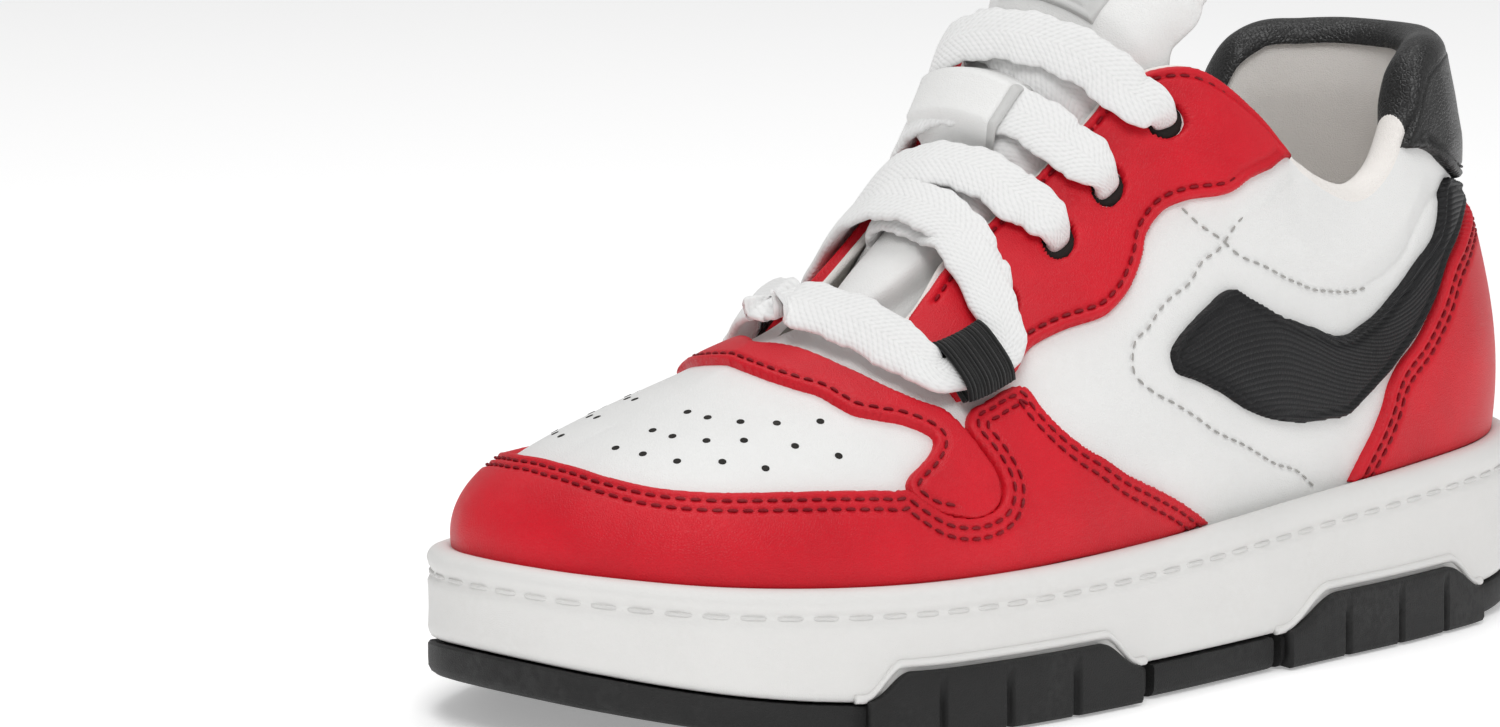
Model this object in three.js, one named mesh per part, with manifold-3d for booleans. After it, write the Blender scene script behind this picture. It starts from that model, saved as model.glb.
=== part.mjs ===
// A child's low-top court sneaker, left shoe, EU size 26, laced up.
// Millimetres, +Z up, toe towards -X, heel towards +X, outer (lateral) side towards -Y.
// The sole stands on z = 0, and the middle of the shoe's box in plan is the origin.
import * as THREE from "three";
import { mergeVertices } from "three/addons/utils/BufferGeometryUtils.js";
import Module from "manifold-3d";

const wasm = await Module();
wasm.setup();

// ---------------------------------------------------------------- driving dimensions
const LENGTH = 186; // sole, toe to heel
const BALL_WIDTH = 77; // sole across the ball of the foot
const COLLAR_HEIGHT = 84.5; // back of the collar above the ground
const TOE_SPRING = 6.6; // lift of the toe tip
const HEEL_BEVEL = 2.4; // lift of the heel tip

const RUBBER = 4.7; // outsole thickness
const CUP_FLOOR = 3; // plate of the cupsole
const WALL = 4.3; // wall of the cupsole
const MIDSOLE = 4.4; // foam filler inside the cup, at the ball
const HEEL_LIFT = 2.6; // extra foam under the heel
const STROBEL = 1.2; // board that closes the upper
const SOCKLINER = 3.6; // loose footbed
const GAP = 0.3; // air between neighbours that touch
const PLY_GAP = 0.45; // air between the curved plies of the upper and of the tongue

const LEATHER = 1.1; // vamp and quarters
const OVERLAY = 1; // panels sewn on top of them
const STIFFENER = 0.8; // toe puff and heel counter
const LINING = 0.8;
const COLLAR_PAD = 2.8; // extra foam in the collar
const TONGUE_SKIN = 0.9;
const TONGUE_FOAM = 3.2;
const TONGUE_LINING = 0.7;

const LACE_WIDTH = 7.6;
const LACE_THICKNESS = 1.2;
const EYELET = 5 + LACE_THICKNESS; // punched hole
const WEBBING = 0.5; // lace loops
const THREAD = 0.7; // sole stitching
const GROOVE = 1.8; // height of the stitch groove
const GROOVE_DEPTH = 1.2;

const CHANNEL = 1.8; // gap between the four outsole pieces
const WINDOW = { width: 6, length: 15, clearance: 0.35, tilt: 11 };
const TREAD_DEPTH = 1.6;
const TREAD_GROOVE = 1;
const SIDE_LUG = 1.3; // lugs that climb the sidewall stand this proud of it
const RIDGE_SHIFT = 4.2; // the toe ridge bends inwards by this much

// ---------------------------------------------------------------- curves through points
// Value of a smooth curve at `at`, given knots and a value (number or list) at each.
function through(knots, values, at) {
  const last = knots.length - 1;
  const u = Math.min(Math.max(at, knots[0]), knots[last]);
  let i = 0;
  while (i < last - 1 && u > knots[i + 1]) i += 1;
  const mix = (pick) => {
    const slope = (k) => {
      const a = Math.max(k - 1, 0);
      const b = Math.min(k + 1, last);
      return (pick(values[b]) - pick(values[a])) / (knots[b] - knots[a]);
    };
    const span = knots[i + 1] - knots[i];
    const w = (u - knots[i]) / span;
    return (
      (2 * w ** 3 - 3 * w ** 2 + 1) * pick(values[i]) +
      (w ** 3 - 2 * w ** 2 + w) * span * slope(i) +
      (3 * w ** 2 - 2 * w ** 3) * pick(values[i + 1]) +
      (w ** 3 - w ** 2) * span * slope(i + 1)
    );
  };
  if (typeof values[0] === "number") return mix((v) => v);
  return values[0].map((_, n) => mix((v) => v[n]));
}

const lerp = (a, b, w) => a.map((v, i) => v + (b[i] - v) * w);
const clamp = (v) => Math.min(Math.max(v, 0), 1);
const ease = (from, to, v) => {
  const w = clamp((v - from) / (to - from));
  return w * w * (3 - 2 * w);
};
const unit = (v) => {
  const size = Math.hypot(...v);
  return v.map((c) => c / size);
};
const cross = (a, b) => [
  a[1] * b[2] - a[2] * b[1],
  a[2] * b[0] - a[0] * b[2],
  a[0] * b[1] - a[1] * b[0],
];
const range = (from, to, steps) =>
  Array.from({ length: steps + 1 }, (_, i) => from + ((to - from) * i) / steps);

// ---------------------------------------------------------------- sole outline and heights
// The outlines are drawn on a 186 by 77 sheet and stretched to the set length and width.
const SHEET = { length: 186, width: 77, height: 84.5 };
const SX = LENGTH / SHEET.length;
const SY = BALL_WIDTH / SHEET.width;

// Sole edge from the toe tip round the outer side to the heel tip, then the inner side.
const OUTER_EDGE = [
  [-93, 7], [-92, -3], [-88, -13], [-76, -26.5], [-55, -35.5], [-32, -38.5],
  [-5, -37.5], [25, -34], [52, -31], [74, -25.5], [88, -14.5], [93, 0],
];
const INNER_EDGE = [
  [-91, 16], [-84, 25], [-68, 34], [-48, 38], [-25, 35.5], [0, 29],
  [25, 27.5], [52, 29.5], [74, 25], [88, 14.5],
];
const HEEL = OUTER_EDGE.length - 1; // knot number of the heel tip
const AROUND = 2 * HEEL; // knots in the whole outline
const EDGE = [...OUTER_EDGE, ...INNER_EDGE.slice().reverse()];
const EDGE_KNOTS = range(-3, AROUND + 3, AROUND + 6);
const EDGE_POINTS = EDGE_KNOTS.map((k) => {
  const [x, y] = EDGE[(k + AROUND) % AROUND];
  return [x * SX, y * SY];
});

// Point of the sole edge at station a (0 toe tip, HEEL heel tip, negative on the inner
// side), moved inwards by `inset`.
function edge(a, inset = 0) {
  const at = ((a % AROUND) + AROUND) % AROUND;
  const step = 1e-3;
  const [x, y] = through(EDGE_KNOTS, EDGE_POINTS, at);
  const ahead = through(EDGE_KNOTS, EDGE_POINTS, at + step);
  const behind = through(EDGE_KNOTS, EDGE_POINTS, at - step);
  const along = unit([ahead[0] - behind[0], ahead[1] - behind[1]]);
  const out = [along[1], -along[0]];
  return { x: x - out[0] * inset, y: y - out[1] * inset, out };
}

const HALF = LENGTH / 2;
const beadTop = (x) => 21.2 + 4.6 * (x / HALF) + 3.2 * (x / HALF) ** 2 - 3.7 * (x / HALF) ** 3;
const stitchLine = (x) => 17.5 + 4.1 * (x / HALF) + 3.3 * (x / HALF) ** 2 - 3.4 * (x / HALF) ** 3;
const TOE_ROLL = -45 * SX; // the sole leaves the ground ahead of this
const HEEL_ROLL = 62 * SX; // and behind this
function ground(x) {
  const toe = Math.max(TOE_ROLL - x, 0) / (HALF + TOE_ROLL);
  const heel = Math.max(x - HEEL_ROLL, 0) / (HALF - HEEL_ROLL);
  return TOE_SPRING * toe ** 2 + HEEL_BEVEL * heel ** 2;
}
const cupBottom = (x) => ground(x) + RUBBER + GAP;
const cupFloor = (x) => cupBottom(x) + CUP_FLOOR;
const footbed = (x) =>
  cupBottom(x) + CUP_FLOOR + GAP + MIDSOLE - 0.4 * ground(x) + HEEL_LIFT * ease(-10 * SX, 45 * SX, x);
const upperFoot = (x) => footbed(x) + GAP; // lowest edge of the upper, inside the cup

// ---------------------------------------------------------------- the upper's skin
// Station s runs from the toe (0) to the heel (HEEL) on either side. Each row is the top
// line there: s, x, half width from the ridge, height, slope of the skin in degrees.
const TOP_LINE = [
  [0, -68.5, 0, 39.6, 20], [1, -67.8, 0, 39.9, 18], [2, -65.5, 0, 40.7, 14],
  [3, -60, 0, 42.6, 9], [4, -50, 0, 46.2, 6], [4.5, -42.5, 0, 49.2, 8],
  [5, -29, 7.2, 54.7, 38], [5.5, -17.5, 8.2, 60.2, 45], [6, -6, 9, 67.7, 48],
  [6.5, 4, 10.5, 76.2, 50], [6.75, 10, 12.4, 81.9, 54], [7, 18, 16.5, 83.4, 60],
  [7.25, 26, 20, 78, 70], [7.5, 33, 22, 71, 78], [7.75, 40, 22.5, 66.6, 84],
  [8, 46.5, 22.5, 65.2, 88], [8.25, 53, 21.7, 68.5, 88], [8.5, 58, 20.4, 75, 88],
  [8.75, 61.5, 19, 81, 87], [9, 66, 17.2, 83.6, 86], [9.5, 71.5, 13, 84.2, 85],
  [10, 75, 8.5, 84.5, 85], [10.5, 76.8, 4, 84.5, 85], [11, 77.3, 0, 84.5, 85],
];
// The inner eyestay stands up more than the outer one: s, then its shift in x, y and z.
const INNER_STAND = [
  [0, 0, 0, 0], [4, 0, 0, 0], [4.6, 0, 0, 0], [5, 0, 0, 0], [5.5, -1, 1, 1], [6, -1.5, 2, 2.2], [6.5, -2.2, 3, 3.6],
  [6.75, -2.5, 3.6, 3.8], [7, -2.2, 3.4, 3.2], [7.25, -1.4, 2.4, 2], [7.5, -0.6, 1, 0.8],
  [8, 0, 0, 0], [8.5, 0, 0, 0], [11, 0, 0, 0],
];
const RIDGE_END = 4.5; // the two sides meet on the ridge up to here, and part behind it
const SKIN_INSET = WALL + PLY_GAP; // the skin leaves the cup this far in from the sole edge
const BULGE = [[0, 3, 5, 7, 8, 9, 10, 11], [2.6, 1.8, 1.6, 1, 0.5, 1.8, 3.2, 3.6]];
const FOOT_PULL = [[0, 3, 5, 6, 7, 8, 9, 11], [0.55, 0.55, 0.4, 0.36, 0.34, 0.36, 0.36, 0.36]];
const TOP_PULL = [[0, 3, 5, 6, 7, 8, 9, 11], [0.36, 0.44, 0.42, 0.4, 0.36, 0.36, 0.42, 0.45]];

const column = (table, n) => table.map((row) => row[n]);
const rest = (table) => table.map((row) => row.slice(1));
const ridge = (x) => RIDGE_SHIFT * clamp((-x / SX - 30) / 40) ** 1.3 * SY;
const upperHeight = (z) => {
  const sole = 22;
  return sole + ((z - sole) * (COLLAR_HEIGHT - sole)) / (SHEET.height - sole);
};

// Station number brought back to -HEEL..HEEL, negative on the inner side.
const wrapped = (a) => (a > HEEL ? a - AROUND : a);

function topPoint(a) {
  const s = Math.abs(a);
  const side = a < 0 ? 1 : -1;
  let [x, half, z, slope] = through(column(TOP_LINE, 0), rest(TOP_LINE), s);
  let y = Math.max(half, 0);
  if (side > 0) {
    const [dx, dy, dz] = through(column(INNER_STAND, 0), rest(INNER_STAND), s);
    x += dx;
    y += dy;
    z += dz;
  }
  x *= SX;
  return { point: [x, ridge(x) + side * y * SY, upperHeight(z)], slope: (slope * Math.PI) / 180 };
}

// One point of the skin. t = 0 is where it leaves the cup, 1 the top line, -TUCK its lowest
// edge inside the cup. Past 1 it comes down the other side, where the sides meet.
const TUCK = 0.125;
function skinPoint(around, t) {
  const a = wrapped(around);
  if (t > 1) return skinPoint(-a, 2 - t);
  const s = Math.abs(a);
  const { x, y, out } = edge(a, SKIN_INSET);
  const foot = [x, y, beadTop(x)];
  if (t < 0) return [x, y, foot[2] + (t / TUCK) * (foot[2] - upperFoot(x))];
  const { point: top, slope } = topPoint(a);
  const level = Math.hypot(foot[0] - top[0], foot[1] - top[1]);
  const chord = [(foot[0] - top[0]) / level, (foot[1] - top[1]) / level];
  const turn = clamp((s - 7) / 1.5);
  const head = unit(lerp(chord, out, turn));
  const rise = top[2] - foot[2];
  const size = Math.hypot(level, rise);
  const bulge = through(...BULGE, s);
  const pull = through(...TOP_PULL, s) * size;
  const low = [foot[0] + out[0] * bulge, foot[1] + out[1] * bulge, foot[2] + rise * through(...FOOT_PULL, s)];
  const high = [
    top[0] + head[0] * Math.cos(slope) * pull,
    top[1] + head[1] * Math.cos(slope) * pull,
    top[2] - Math.sin(slope) * pull,
  ];
  const w = [(1 - t) ** 3, 3 * (1 - t) ** 2 * t, 3 * (1 - t) * t ** 2, t ** 3];
  return [0, 1, 2].map((n) => w[0] * foot[n] + w[1] * low[n] + w[2] * high[n] + w[3] * top[n]);
}

// Outward normal of a surface, found from nearby points.
function normalOf(surface, u, v) {
  const step = 0.004;
  const du = [surface(u + step, v), surface(u - step, v)];
  const dv = [surface(u, v + step), surface(u, v - step)];
  const along = du[0].map((c, n) => c - du[1][n]);
  const upward = dv[0].map((c, n) => c - dv[1][n]);
  return unit(cross(along, upward));
}
const lifted = (point, out, height) => point.map((c, n) => c + out[n] * height);
const offSurface = (surface, u, v, height) => lifted(surface(u, v), normalOf(surface, u, v), height);

// The skin `height` off its surface. Along the ridge both sides lean to one shared normal.
function skin(around, t, height) {
  const a = wrapped(around);
  if (t > 1) return skin(-a, 2 - t, height);
  const near = Math.min(t, 0.97);
  const share = 0.5 * ease(0.86, 1, t) * (1 - ease(RIDGE_END, RIDGE_END + 0.4, Math.abs(a)));
  const out = lerp(normalOf(skinPoint, a, near), normalOf(skinPoint, -a, near), share);
  return lifted(skinPoint(a, t), unit(out), height);
}

// The lacing deck: across the throat from the outer eyestay edge (v = -1) to the inner one
// (v = 1) as an arch, and down the skin beyond them, DECK_REACH of a rib for each unit.
const DECK_REACH = 0.5;
const ARCH = 0.37;
function deckPoint(s, v) {
  if (v < -1) return skinPoint(s, 1 + (v + 1) * DECK_REACH);
  if (v > 1) return skinPoint(-s, 1 - (v - 1) * DECK_REACH);
  const ends = [s, -s].map((a) => {
    const top = skinPoint(a, 1);
    const below = skinPoint(a, 0.999);
    return { top, way: unit(top.map((c, n) => c - below[n])) };
  });
  const span = Math.hypot(...ends[0].top.map((c, n) => c - ends[1].top[n])) * ARCH;
  const near = ends[0].top.map((c, n) => c + ends[0].way[n] * span);
  const far = ends[1].top.map((c, n) => c + ends[1].way[n] * span);
  const t = (v + 1) / 2;
  const w = [(1 - t) ** 3, 3 * (1 - t) ** 2 * t, 3 * (1 - t) * t ** 2, t ** 3];
  return [0, 1, 2].map(
    (n) => w[0] * ends[0].top[n] + w[1] * near[n] + w[2] * far[n] + w[3] * ends[1].top[n],
  );
}
const deck = (s, v, height) => offSurface(deckPoint, s, v, height);

// ---------------------------------------------------------------- meshes and solids
function meshOf(points, faces) {
  const geometry = new THREE.BufferGeometry();
  geometry.setAttribute("position", new THREE.Float32BufferAttribute(points.flat(), 3));
  geometry.setIndex(faces.flat());
  return mergeVertices(geometry, 1e-4);
}
function solidOf(geometry) {
  const plain = new THREE.BufferGeometry();
  plain.setAttribute("position", geometry.getAttribute("position"));
  plain.setIndex(geometry.getIndex());
  const merged = mergeVertices(plain, 1e-4);
  const mesh = new wasm.Mesh({
    numProp: 3,
    vertProperties: new Float32Array(merged.getAttribute("position").array),
    triVerts: new Uint32Array(merged.getIndex().array),
  });
  return new wasm.Manifold(mesh);
}
function geometryOf(solid) {
  const { vertProperties, triVerts } = solid.getMesh();
  const geometry = new THREE.BufferGeometry();
  geometry.setAttribute("position", new THREE.Float32BufferAttribute(vertProperties, 3));
  geometry.setIndex(Array.from(triVerts));
  return geometry;
}
const joined = (solids) => solids.reduce((sum, solid) => sum.add(solid));

// A closed shell over a grid: at(i, j, outer) gives its points, i along and j across.
// `seam(i)` is true where the last row meets its own mirror image and needs no wall.
function shell(columns, rows, at, seam = () => false) {
  const points = [];
  const faces = [];
  const wide = rows + 1;
  const face = (columns + 1) * wide;
  for (const outer of [false, true])
    for (let i = 0; i <= columns; i += 1)
      for (let j = 0; j <= rows; j += 1) points.push(at(i, j, outer));
  const quad = (a, b, c, d) => faces.push([a, b, c], [a, c, d]);
  const inside = (i, j) => i * wide + j;
  const outside = (i, j) => face + i * wide + j;
  for (let i = 0; i < columns; i += 1)
    for (let j = 0; j < rows; j += 1) {
      quad(outside(i, j), outside(i + 1, j), outside(i + 1, j + 1), outside(i, j + 1));
      quad(inside(i, j), inside(i, j + 1), inside(i + 1, j + 1), inside(i + 1, j));
    }
  for (let i = 0; i < columns; i += 1) {
    quad(inside(i, 0), inside(i + 1, 0), outside(i + 1, 0), outside(i, 0));
    if (!seam(i)) quad(outside(i, rows), outside(i + 1, rows), inside(i + 1, rows), inside(i, rows));
  }
  for (let j = 0; j < rows; j += 1) {
    quad(outside(0, j), outside(0, j + 1), inside(0, j + 1), inside(0, j));
    quad(inside(columns, j), inside(columns, j + 1), outside(columns, j + 1), outside(columns, j));
  }
  return meshOf(points, faces);
}

// A leather panel: `pairs` lists its two long edges as [near a, near t, far a, far t], and
// the panel is ruled between them, from `inner` to `outer` above the skin.
function panel(pairs, columns, rows, inner, outer, surface = skin) {
  const knots = pairs.map((_, i) => i);
  const ruled = (i, j) => {
    const [a0, t0, a1, t1] = through(knots, pairs, ((pairs.length - 1) * i) / columns);
    return lerp([a0, t0], [a1, t1], j / rows);
  };
  return shell(columns, rows, (i, j, top) => surface(...ruled(i, j), top ? outer : inner));
}
// The same panel's pairs with its mirror image on the other side of the toe or the heel.
const roundToe = (pairs) => [
  ...pairs.slice(1).reverse().map(([a0, t0, a1, t1]) => [-a0, t0, -a1, t1]),
  ...pairs,
];
const roundHeel = (pairs) => [
  ...pairs,
  ...pairs.slice(0, -1).reverse().map(([a0, t0, a1, t1]) => [AROUND - a0, t0, AROUND - a1, t1]),
];

// Rings round the sole, each { inset, z(x) }, joined in order and capped at both ends.
function rings(list, stations, capped = true) {
  const points = [];
  const faces = [];
  for (const { inset, z } of list)
    for (let i = 0; i < stations; i += 1) {
      const { x, y } = edge((i * AROUND) / stations, inset);
      points.push([x, y, z(x)]);
    }
  const at = (ring, i) => ring * stations + (i % stations);
  const last = list.length - 1;
  for (let ring = 0; ring < (capped ? last : list.length); ring += 1)
    for (let i = 0; i < stations; i += 1) {
      const next = (ring + 1) % list.length;
      faces.push([at(ring, i), at(ring, i + 1), at(next, i + 1)]);
      faces.push([at(ring, i), at(next, i + 1), at(next, i)]);
    }
  if (capped)
    for (let i = 0; i < stations / 2; i += 1) {
      const other = stations - i;
      for (const [ring, flip] of [[0, true], [last, false]]) {
        const quad = [at(ring, i), at(ring, i + 1), at(ring, other - 1), at(ring, other)];
        const tris = [[quad[0], quad[1], quad[2]], [quad[0], quad[2], quad[3]]];
        for (const tri of tris)
          if (new Set(tri).size === 3) faces.push(flip ? tri.slice().reverse() : tri);
      }
    }
  return meshOf(points, faces);
}

// A strip of the given width along a line of points, in plan, stood up from z0 to z1.
function fence(points, width, z0, z1) {
  const sides = [-width / 2, width / 2].map((shift) =>
    points.map((point, i) => {
      const before = points[Math.max(i - 1, 0)];
      const after = points[Math.min(i + 1, points.length - 1)];
      const along = unit([after[0] - before[0], after[1] - before[1]]);
      return new THREE.Vector2(point[0] - along[1] * shift, point[1] + along[0] * shift);
    }),
  );
  const shape = new THREE.Shape([...sides[0], ...sides[1].reverse()]);
  const geometry = new THREE.ExtrudeGeometry(shape, { depth: z1 - z0, bevelEnabled: false });
  return solidOf(geometry.translate(0, 0, z0).deleteAttribute("uv").deleteAttribute("normal"));
}
const onSheet = (points) => points.map(([x, y]) => [x * SX, y * SY]);

// A block with rounded corners, tilted in plan, for the lugs and the windows round them.
function roundedBlock(x, y, width, length, corner, z0, z1) {
  const [w, l] = [width / 2 - corner, length / 2 - corner];
  const shape = new THREE.Shape();
  shape.absarc(w, l, corner, 0, Math.PI / 2);
  shape.absarc(-w, l, corner, Math.PI / 2, Math.PI);
  shape.absarc(-w, -l, corner, Math.PI, (3 * Math.PI) / 2);
  shape.absarc(w, -l, corner, (3 * Math.PI) / 2, 2 * Math.PI);
  const options = { depth: z1 - z0, bevelEnabled: false, curveSegments: 1 };
  const geometry = new THREE.ExtrudeGeometry(shape, options);
  geometry.rotateZ((-WINDOW.tilt * Math.PI) / 180).translate(x * SX, y * SY, z0);
  return solidOf(geometry);
}

const leather = (color, roughness = 0.45) => new THREE.MeshStandardMaterial({ color, roughness, metalness: 0 });
const RED = leather(0xc8202f);
const WHITE = leather(0xecebe8);
const BLACK_LEATHER = leather(0x232323, 0.5);
const BLACK_RUBBER = leather(0x2b2b2b, 0.8);
const CUP_WHITE = leather(0xe4e3df, 0.6);
const CREAM = leather(0xe0d8cf, 0.75);
const COTTON = leather(0xf2f1ee, 0.9);
const GREY = leather(0xd5d5d2, 0.6);
const FOAM = leather(0xd9cf9a, 0.95);
const BOARD = leather(0xb89f78, 0.9);

const shoe = new THREE.Group();
function add(name, geometry, material) {
  const mesh = new THREE.Mesh(geometry, material);
  mesh.name = name;
  shoe.add(mesh);
}

// ---------------------------------------------------------------- outsole
const STATIONS = 66;
const LUG_BLOCKS = [
  // first and last station, height, and length of the slanted ends in stations
  { from: 3.85, to: 5.75, height: 9.3, slant: 0.28 },
  { from: 6.85, to: 8.62, height: 9.4, slant: 0.4 },
  { from: -5.55, to: -3.7, height: 8.6, slant: 0.25 },
  { from: -8.5, to: -6.75, height: 8.8, slant: 0.35 },
];
const BLOCK_RUTS = 3;

function sideLug({ from, to, height, slant }) {
  const columns = 7;
  const stations = range(from, to, columns);
  const face = SIDE_LUG + GAP;
  const low = RUBBER + GAP + 0.4;
  const profile = (a) => {
    const rise = Math.min(clamp((a - from) / slant), clamp((to - a) / slant));
    const top = low + (height - low) * rise;
    return [
      [1, 0.3], [-face + 0.7, 0.1], [-face, 0.9], [-face + 0.2, top - 0.5],
      [-face + 0.6, top], [-GAP, top], [-GAP, RUBBER - 0.3], [1, RUBBER - 0.3],
    ];
  };
  const points = stations.flatMap((a) =>
    profile(a).map(([inset, z]) => {
      const { x, y } = edge(a, inset);
      return [x, y, z + ground(x)];
    }),
  );
  const sides = 8;
  const faces = [];
  for (let i = 0; i < columns; i += 1)
    for (let j = 0; j < sides; j += 1) {
      const [a, b] = [i * sides + j, i * sides + ((j + 1) % sides)];
      faces.push([a, b + sides, b], [a, a + sides, b + sides]);
    }
  // each end is the profile itself, cut into its rubber foot and its upright face
  const ends = [[0, 1, 2], [0, 2, 6], [0, 6, 7], [2, 3, 6], [3, 4, 5], [3, 5, 6]];
  const end = columns * sides;
  for (const tri of ends) {
    faces.push(tri);
    faces.push(tri.map((n) => n + end).reverse());
  }
  return solidOf(meshOf(points, faces));
}

function treadLines() {
  const across = (x, y0, y1, lean = 0) => [[x, y0], [x + lean, y1]];
  const toeBars = [-80, -74.5, -69, -63.5].map((x, i) => [[x - 4, -14 - 2 * i], [x + 5, 16 + 2 * i]]);
  const middle = [[[2.5, 11], [-2, -4]], [[9, 11], [5, -17]], [[16, 5.6], [16, -8]]];
  const edgeCuts = [-44, -34, -25].map((x) => across(x, 27, 41));
  const heelCuts = [28, 37.5, 47, 55].map((x) => across(x, 19, 33));
  const outerCuts = [-44, -34, -25].map((x) => across(x, -28, -42));
  const outerHeel = [30, 39, 48, 57].map((x) => across(x, -21, -36));
  return [...toeBars, ...middle, ...edgeCuts, ...heelCuts, ...outerCuts, ...outerHeel];
}
const CHANNELS = [
  [[-54, 46], [-55.5, 34], [-56.5, 21], [-48, 14], [-47.5, 9], [-57, -15], [-56.5, -18], [-50, -23], [-51, -31], [-51, -46]],
  [[-14, 42], [-15, 29], [-17.5, 17], [-8, 10], [-7.5, 4], [-16.5, -17], [-15.5, -20], [-9.5, -24], [-9, -34], [-9, -46]],
  [[17.5, 36], [18.5, 25], [19.5, 16], [26, 7.5], [27, 0], [25.5, -8], [20, -17], [19, -25], [19, -42]],
];
const WINDOWS = [
  [-23, 19.5], [-39, 11.5], [-31, 1], [-19.5, 3], [-46, -8.5], [-37.7, -18.6], [-26.3, -15], [-20.5, -28],
];
const PIECES = ["toe", "forefoot", "midfoot", "heel"];

function outsole() {
  const slab = solidOf(
    rings(
      [
        { inset: 1.6, z: ground },
        { inset: 0.5, z: (x) => ground(x) + 0.4 },
        { inset: 0, z: (x) => ground(x) + 1.3 },
        { inset: 0, z: (x) => ground(x) + RUBBER - 0.3 },
        { inset: 0.5, z: (x) => ground(x) + RUBBER },
      ],
      STATIONS,
    ),
  );
  const treadZone = solidOf(
    rings([{ inset: -4, z: (x) => ground(x) - 3 }, { inset: -4, z: (x) => ground(x) + TREAD_DEPTH }], STATIONS),
  );
  const ruts = LUG_BLOCKS.flatMap(({ from, to }) =>
    range(from, to, BLOCK_RUTS + 1)
      .slice(1, -1)
      .map((a) => {
        const ends = [edge(a, -GAP - SIDE_LUG + 0.7), edge(a, -6)];
        return fence(ends.map(({ x, y }) => [x, y]), TREAD_GROOVE, -2, 14);
      }),
  );
  const grooves = joined(treadLines().map((line) => fence(onSheet(line), TREAD_GROOVE, -3, 12)));
  const windows = WINDOWS.map(([x, y]) =>
    roundedBlock(x, y, WINDOW.width + 2 * WINDOW.clearance, WINDOW.length + 2 * WINDOW.clearance, 2, -3, 12),
  );
  const channels = CHANNELS.map((line) => fence(onSheet(line), CHANNEL, -5, 16));
  const whole = joined([slab, ...LUG_BLOCKS.map(sideLug)]);
  const cut = whole.subtract(joined([grooves.intersect(treadZone), ...ruts, ...windows, ...channels]));
  const middleOf = (piece) => piece.boundingBox().min[0] + piece.boundingBox().max[0];
  const crumb = 60; // mm3, slivers left between two cuts
  return cut
    .decompose()
    .filter((piece) => piece.volume() > crumb)
    .sort((a, b) => middleOf(a) - middleOf(b));
}
outsole().forEach((piece, i) => add(`outsole_${PIECES[i]}`, geometryOf(piece), BLACK_RUBBER));

// ---------------------------------------------------------------- cupsole and what it holds
function cupsole() {
  const band = GROOVE / 2;
  const wall = [
    { inset: 1.4, z: cupBottom },
    { inset: 0, z: (x) => cupBottom(x) + 0.8 },
    { inset: 0, z: (x) => stitchLine(x) - band },
    { inset: GROOVE_DEPTH, z: (x) => stitchLine(x) - band + 0.4 },
    { inset: GROOVE_DEPTH, z: (x) => stitchLine(x) + band - 0.4 },
    { inset: 0, z: (x) => stitchLine(x) + band },
    { inset: 0, z: (x) => beadTop(x) - 1.4 },
    { inset: 1, z: (x) => beadTop(x) - 0.4 },
    { inset: 2.6, z: (x) => beadTop(x) - 0.3 },
    { inset: WALL, z: (x) => beadTop(x) - 1 },
    { inset: WALL, z: cupFloor },
  ];
  const cup = solidOf(rings(wall, STATIONS));
  const lugs = WINDOWS.map(([x, y]) =>
    roundedBlock(x, y, WINDOW.width, WINDOW.length, 1.8, 0.4, cupBottom(x * SX) + 0.6),
  );
  return geometryOf(joined([cup, ...lugs]));
}
add("cupsole", cupsole(), CUP_WHITE);

function soleThread() {
  const sides = 3;
  const radius = THREAD / 2;
  const profile = range(0, 2 * Math.PI, sides)
    .slice(0, -1)
    .map((turn) => ({
      inset: radius - radius * Math.cos(turn),
      z: (x) => stitchLine(x) + radius * Math.sin(turn),
    }));
  return rings(profile, STATIONS, false);
}
add("sole_stitching", soleThread(), COTTON);

const COARSE = 44;
add(
  "midsole_filler",
  rings(
    [
      { inset: SKIN_INSET + 1, z: (x) => cupFloor(x) + GAP },
      { inset: SKIN_INSET, z: (x) => cupFloor(x) + GAP + 0.8 },
      { inset: SKIN_INSET, z: footbed },
    ],
    COARSE,
  ),
  FOAM,
);

// Heights of the layers above (+) and below (-) the skin.
const BASE = [-LEATHER, 0];
const OVER = [PLY_GAP, PLY_GAP + OVERLAY];
const STIFF = [-LEATHER - PLY_GAP - STIFFENER, -LEATHER - PLY_GAP];
const LINED = [STIFF[0] - PLY_GAP - LINING, STIFF[0] - PLY_GAP];
const VAMP_LINED = [LINED[0], BASE[0] - PLY_GAP];
const CHORD_SAG = 0.15 * Math.max(SX, SY); // straight steps round the board cut this deep into its curve
const BED_INSET = SKIN_INSET - LINED[0] + GAP + CHORD_SAG;
add(
  "strobel_board",
  rings(
    [
      { inset: BED_INSET, z: upperFoot },
      { inset: BED_INSET, z: (x) => upperFoot(x) + STROBEL },
    ],
    COARSE,
  ),
  BOARD,
);
const sockBottom = (x) => upperFoot(x) + STROBEL + GAP;
add(
  "sockliner",
  rings(
    [
      { inset: BED_INSET + 0.6, z: sockBottom },
      { inset: BED_INSET, z: (x) => sockBottom(x) + SOCKLINER - 0.6 },
      { inset: BED_INSET + 0.5, z: (x) => sockBottom(x) + SOCKLINER },
    ],
    COARSE,
  ),
  CREAM,
);

// ---------------------------------------------------------------- upper: base layer and linings
const LOW = 0.012; // overlays end just above the bead
const VAMP_END = 4.78;
const QUARTER_START = 4.86;
const EYELETS = [
  // station and deck position of each punched hole, top row first
  { s: 6.8, v: 1.23 },
  { s: 6.41, v: 1.29 },
  { s: 6.01, v: 1.32 },
  { s: 5.53, v: 1.4 },
];

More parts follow.
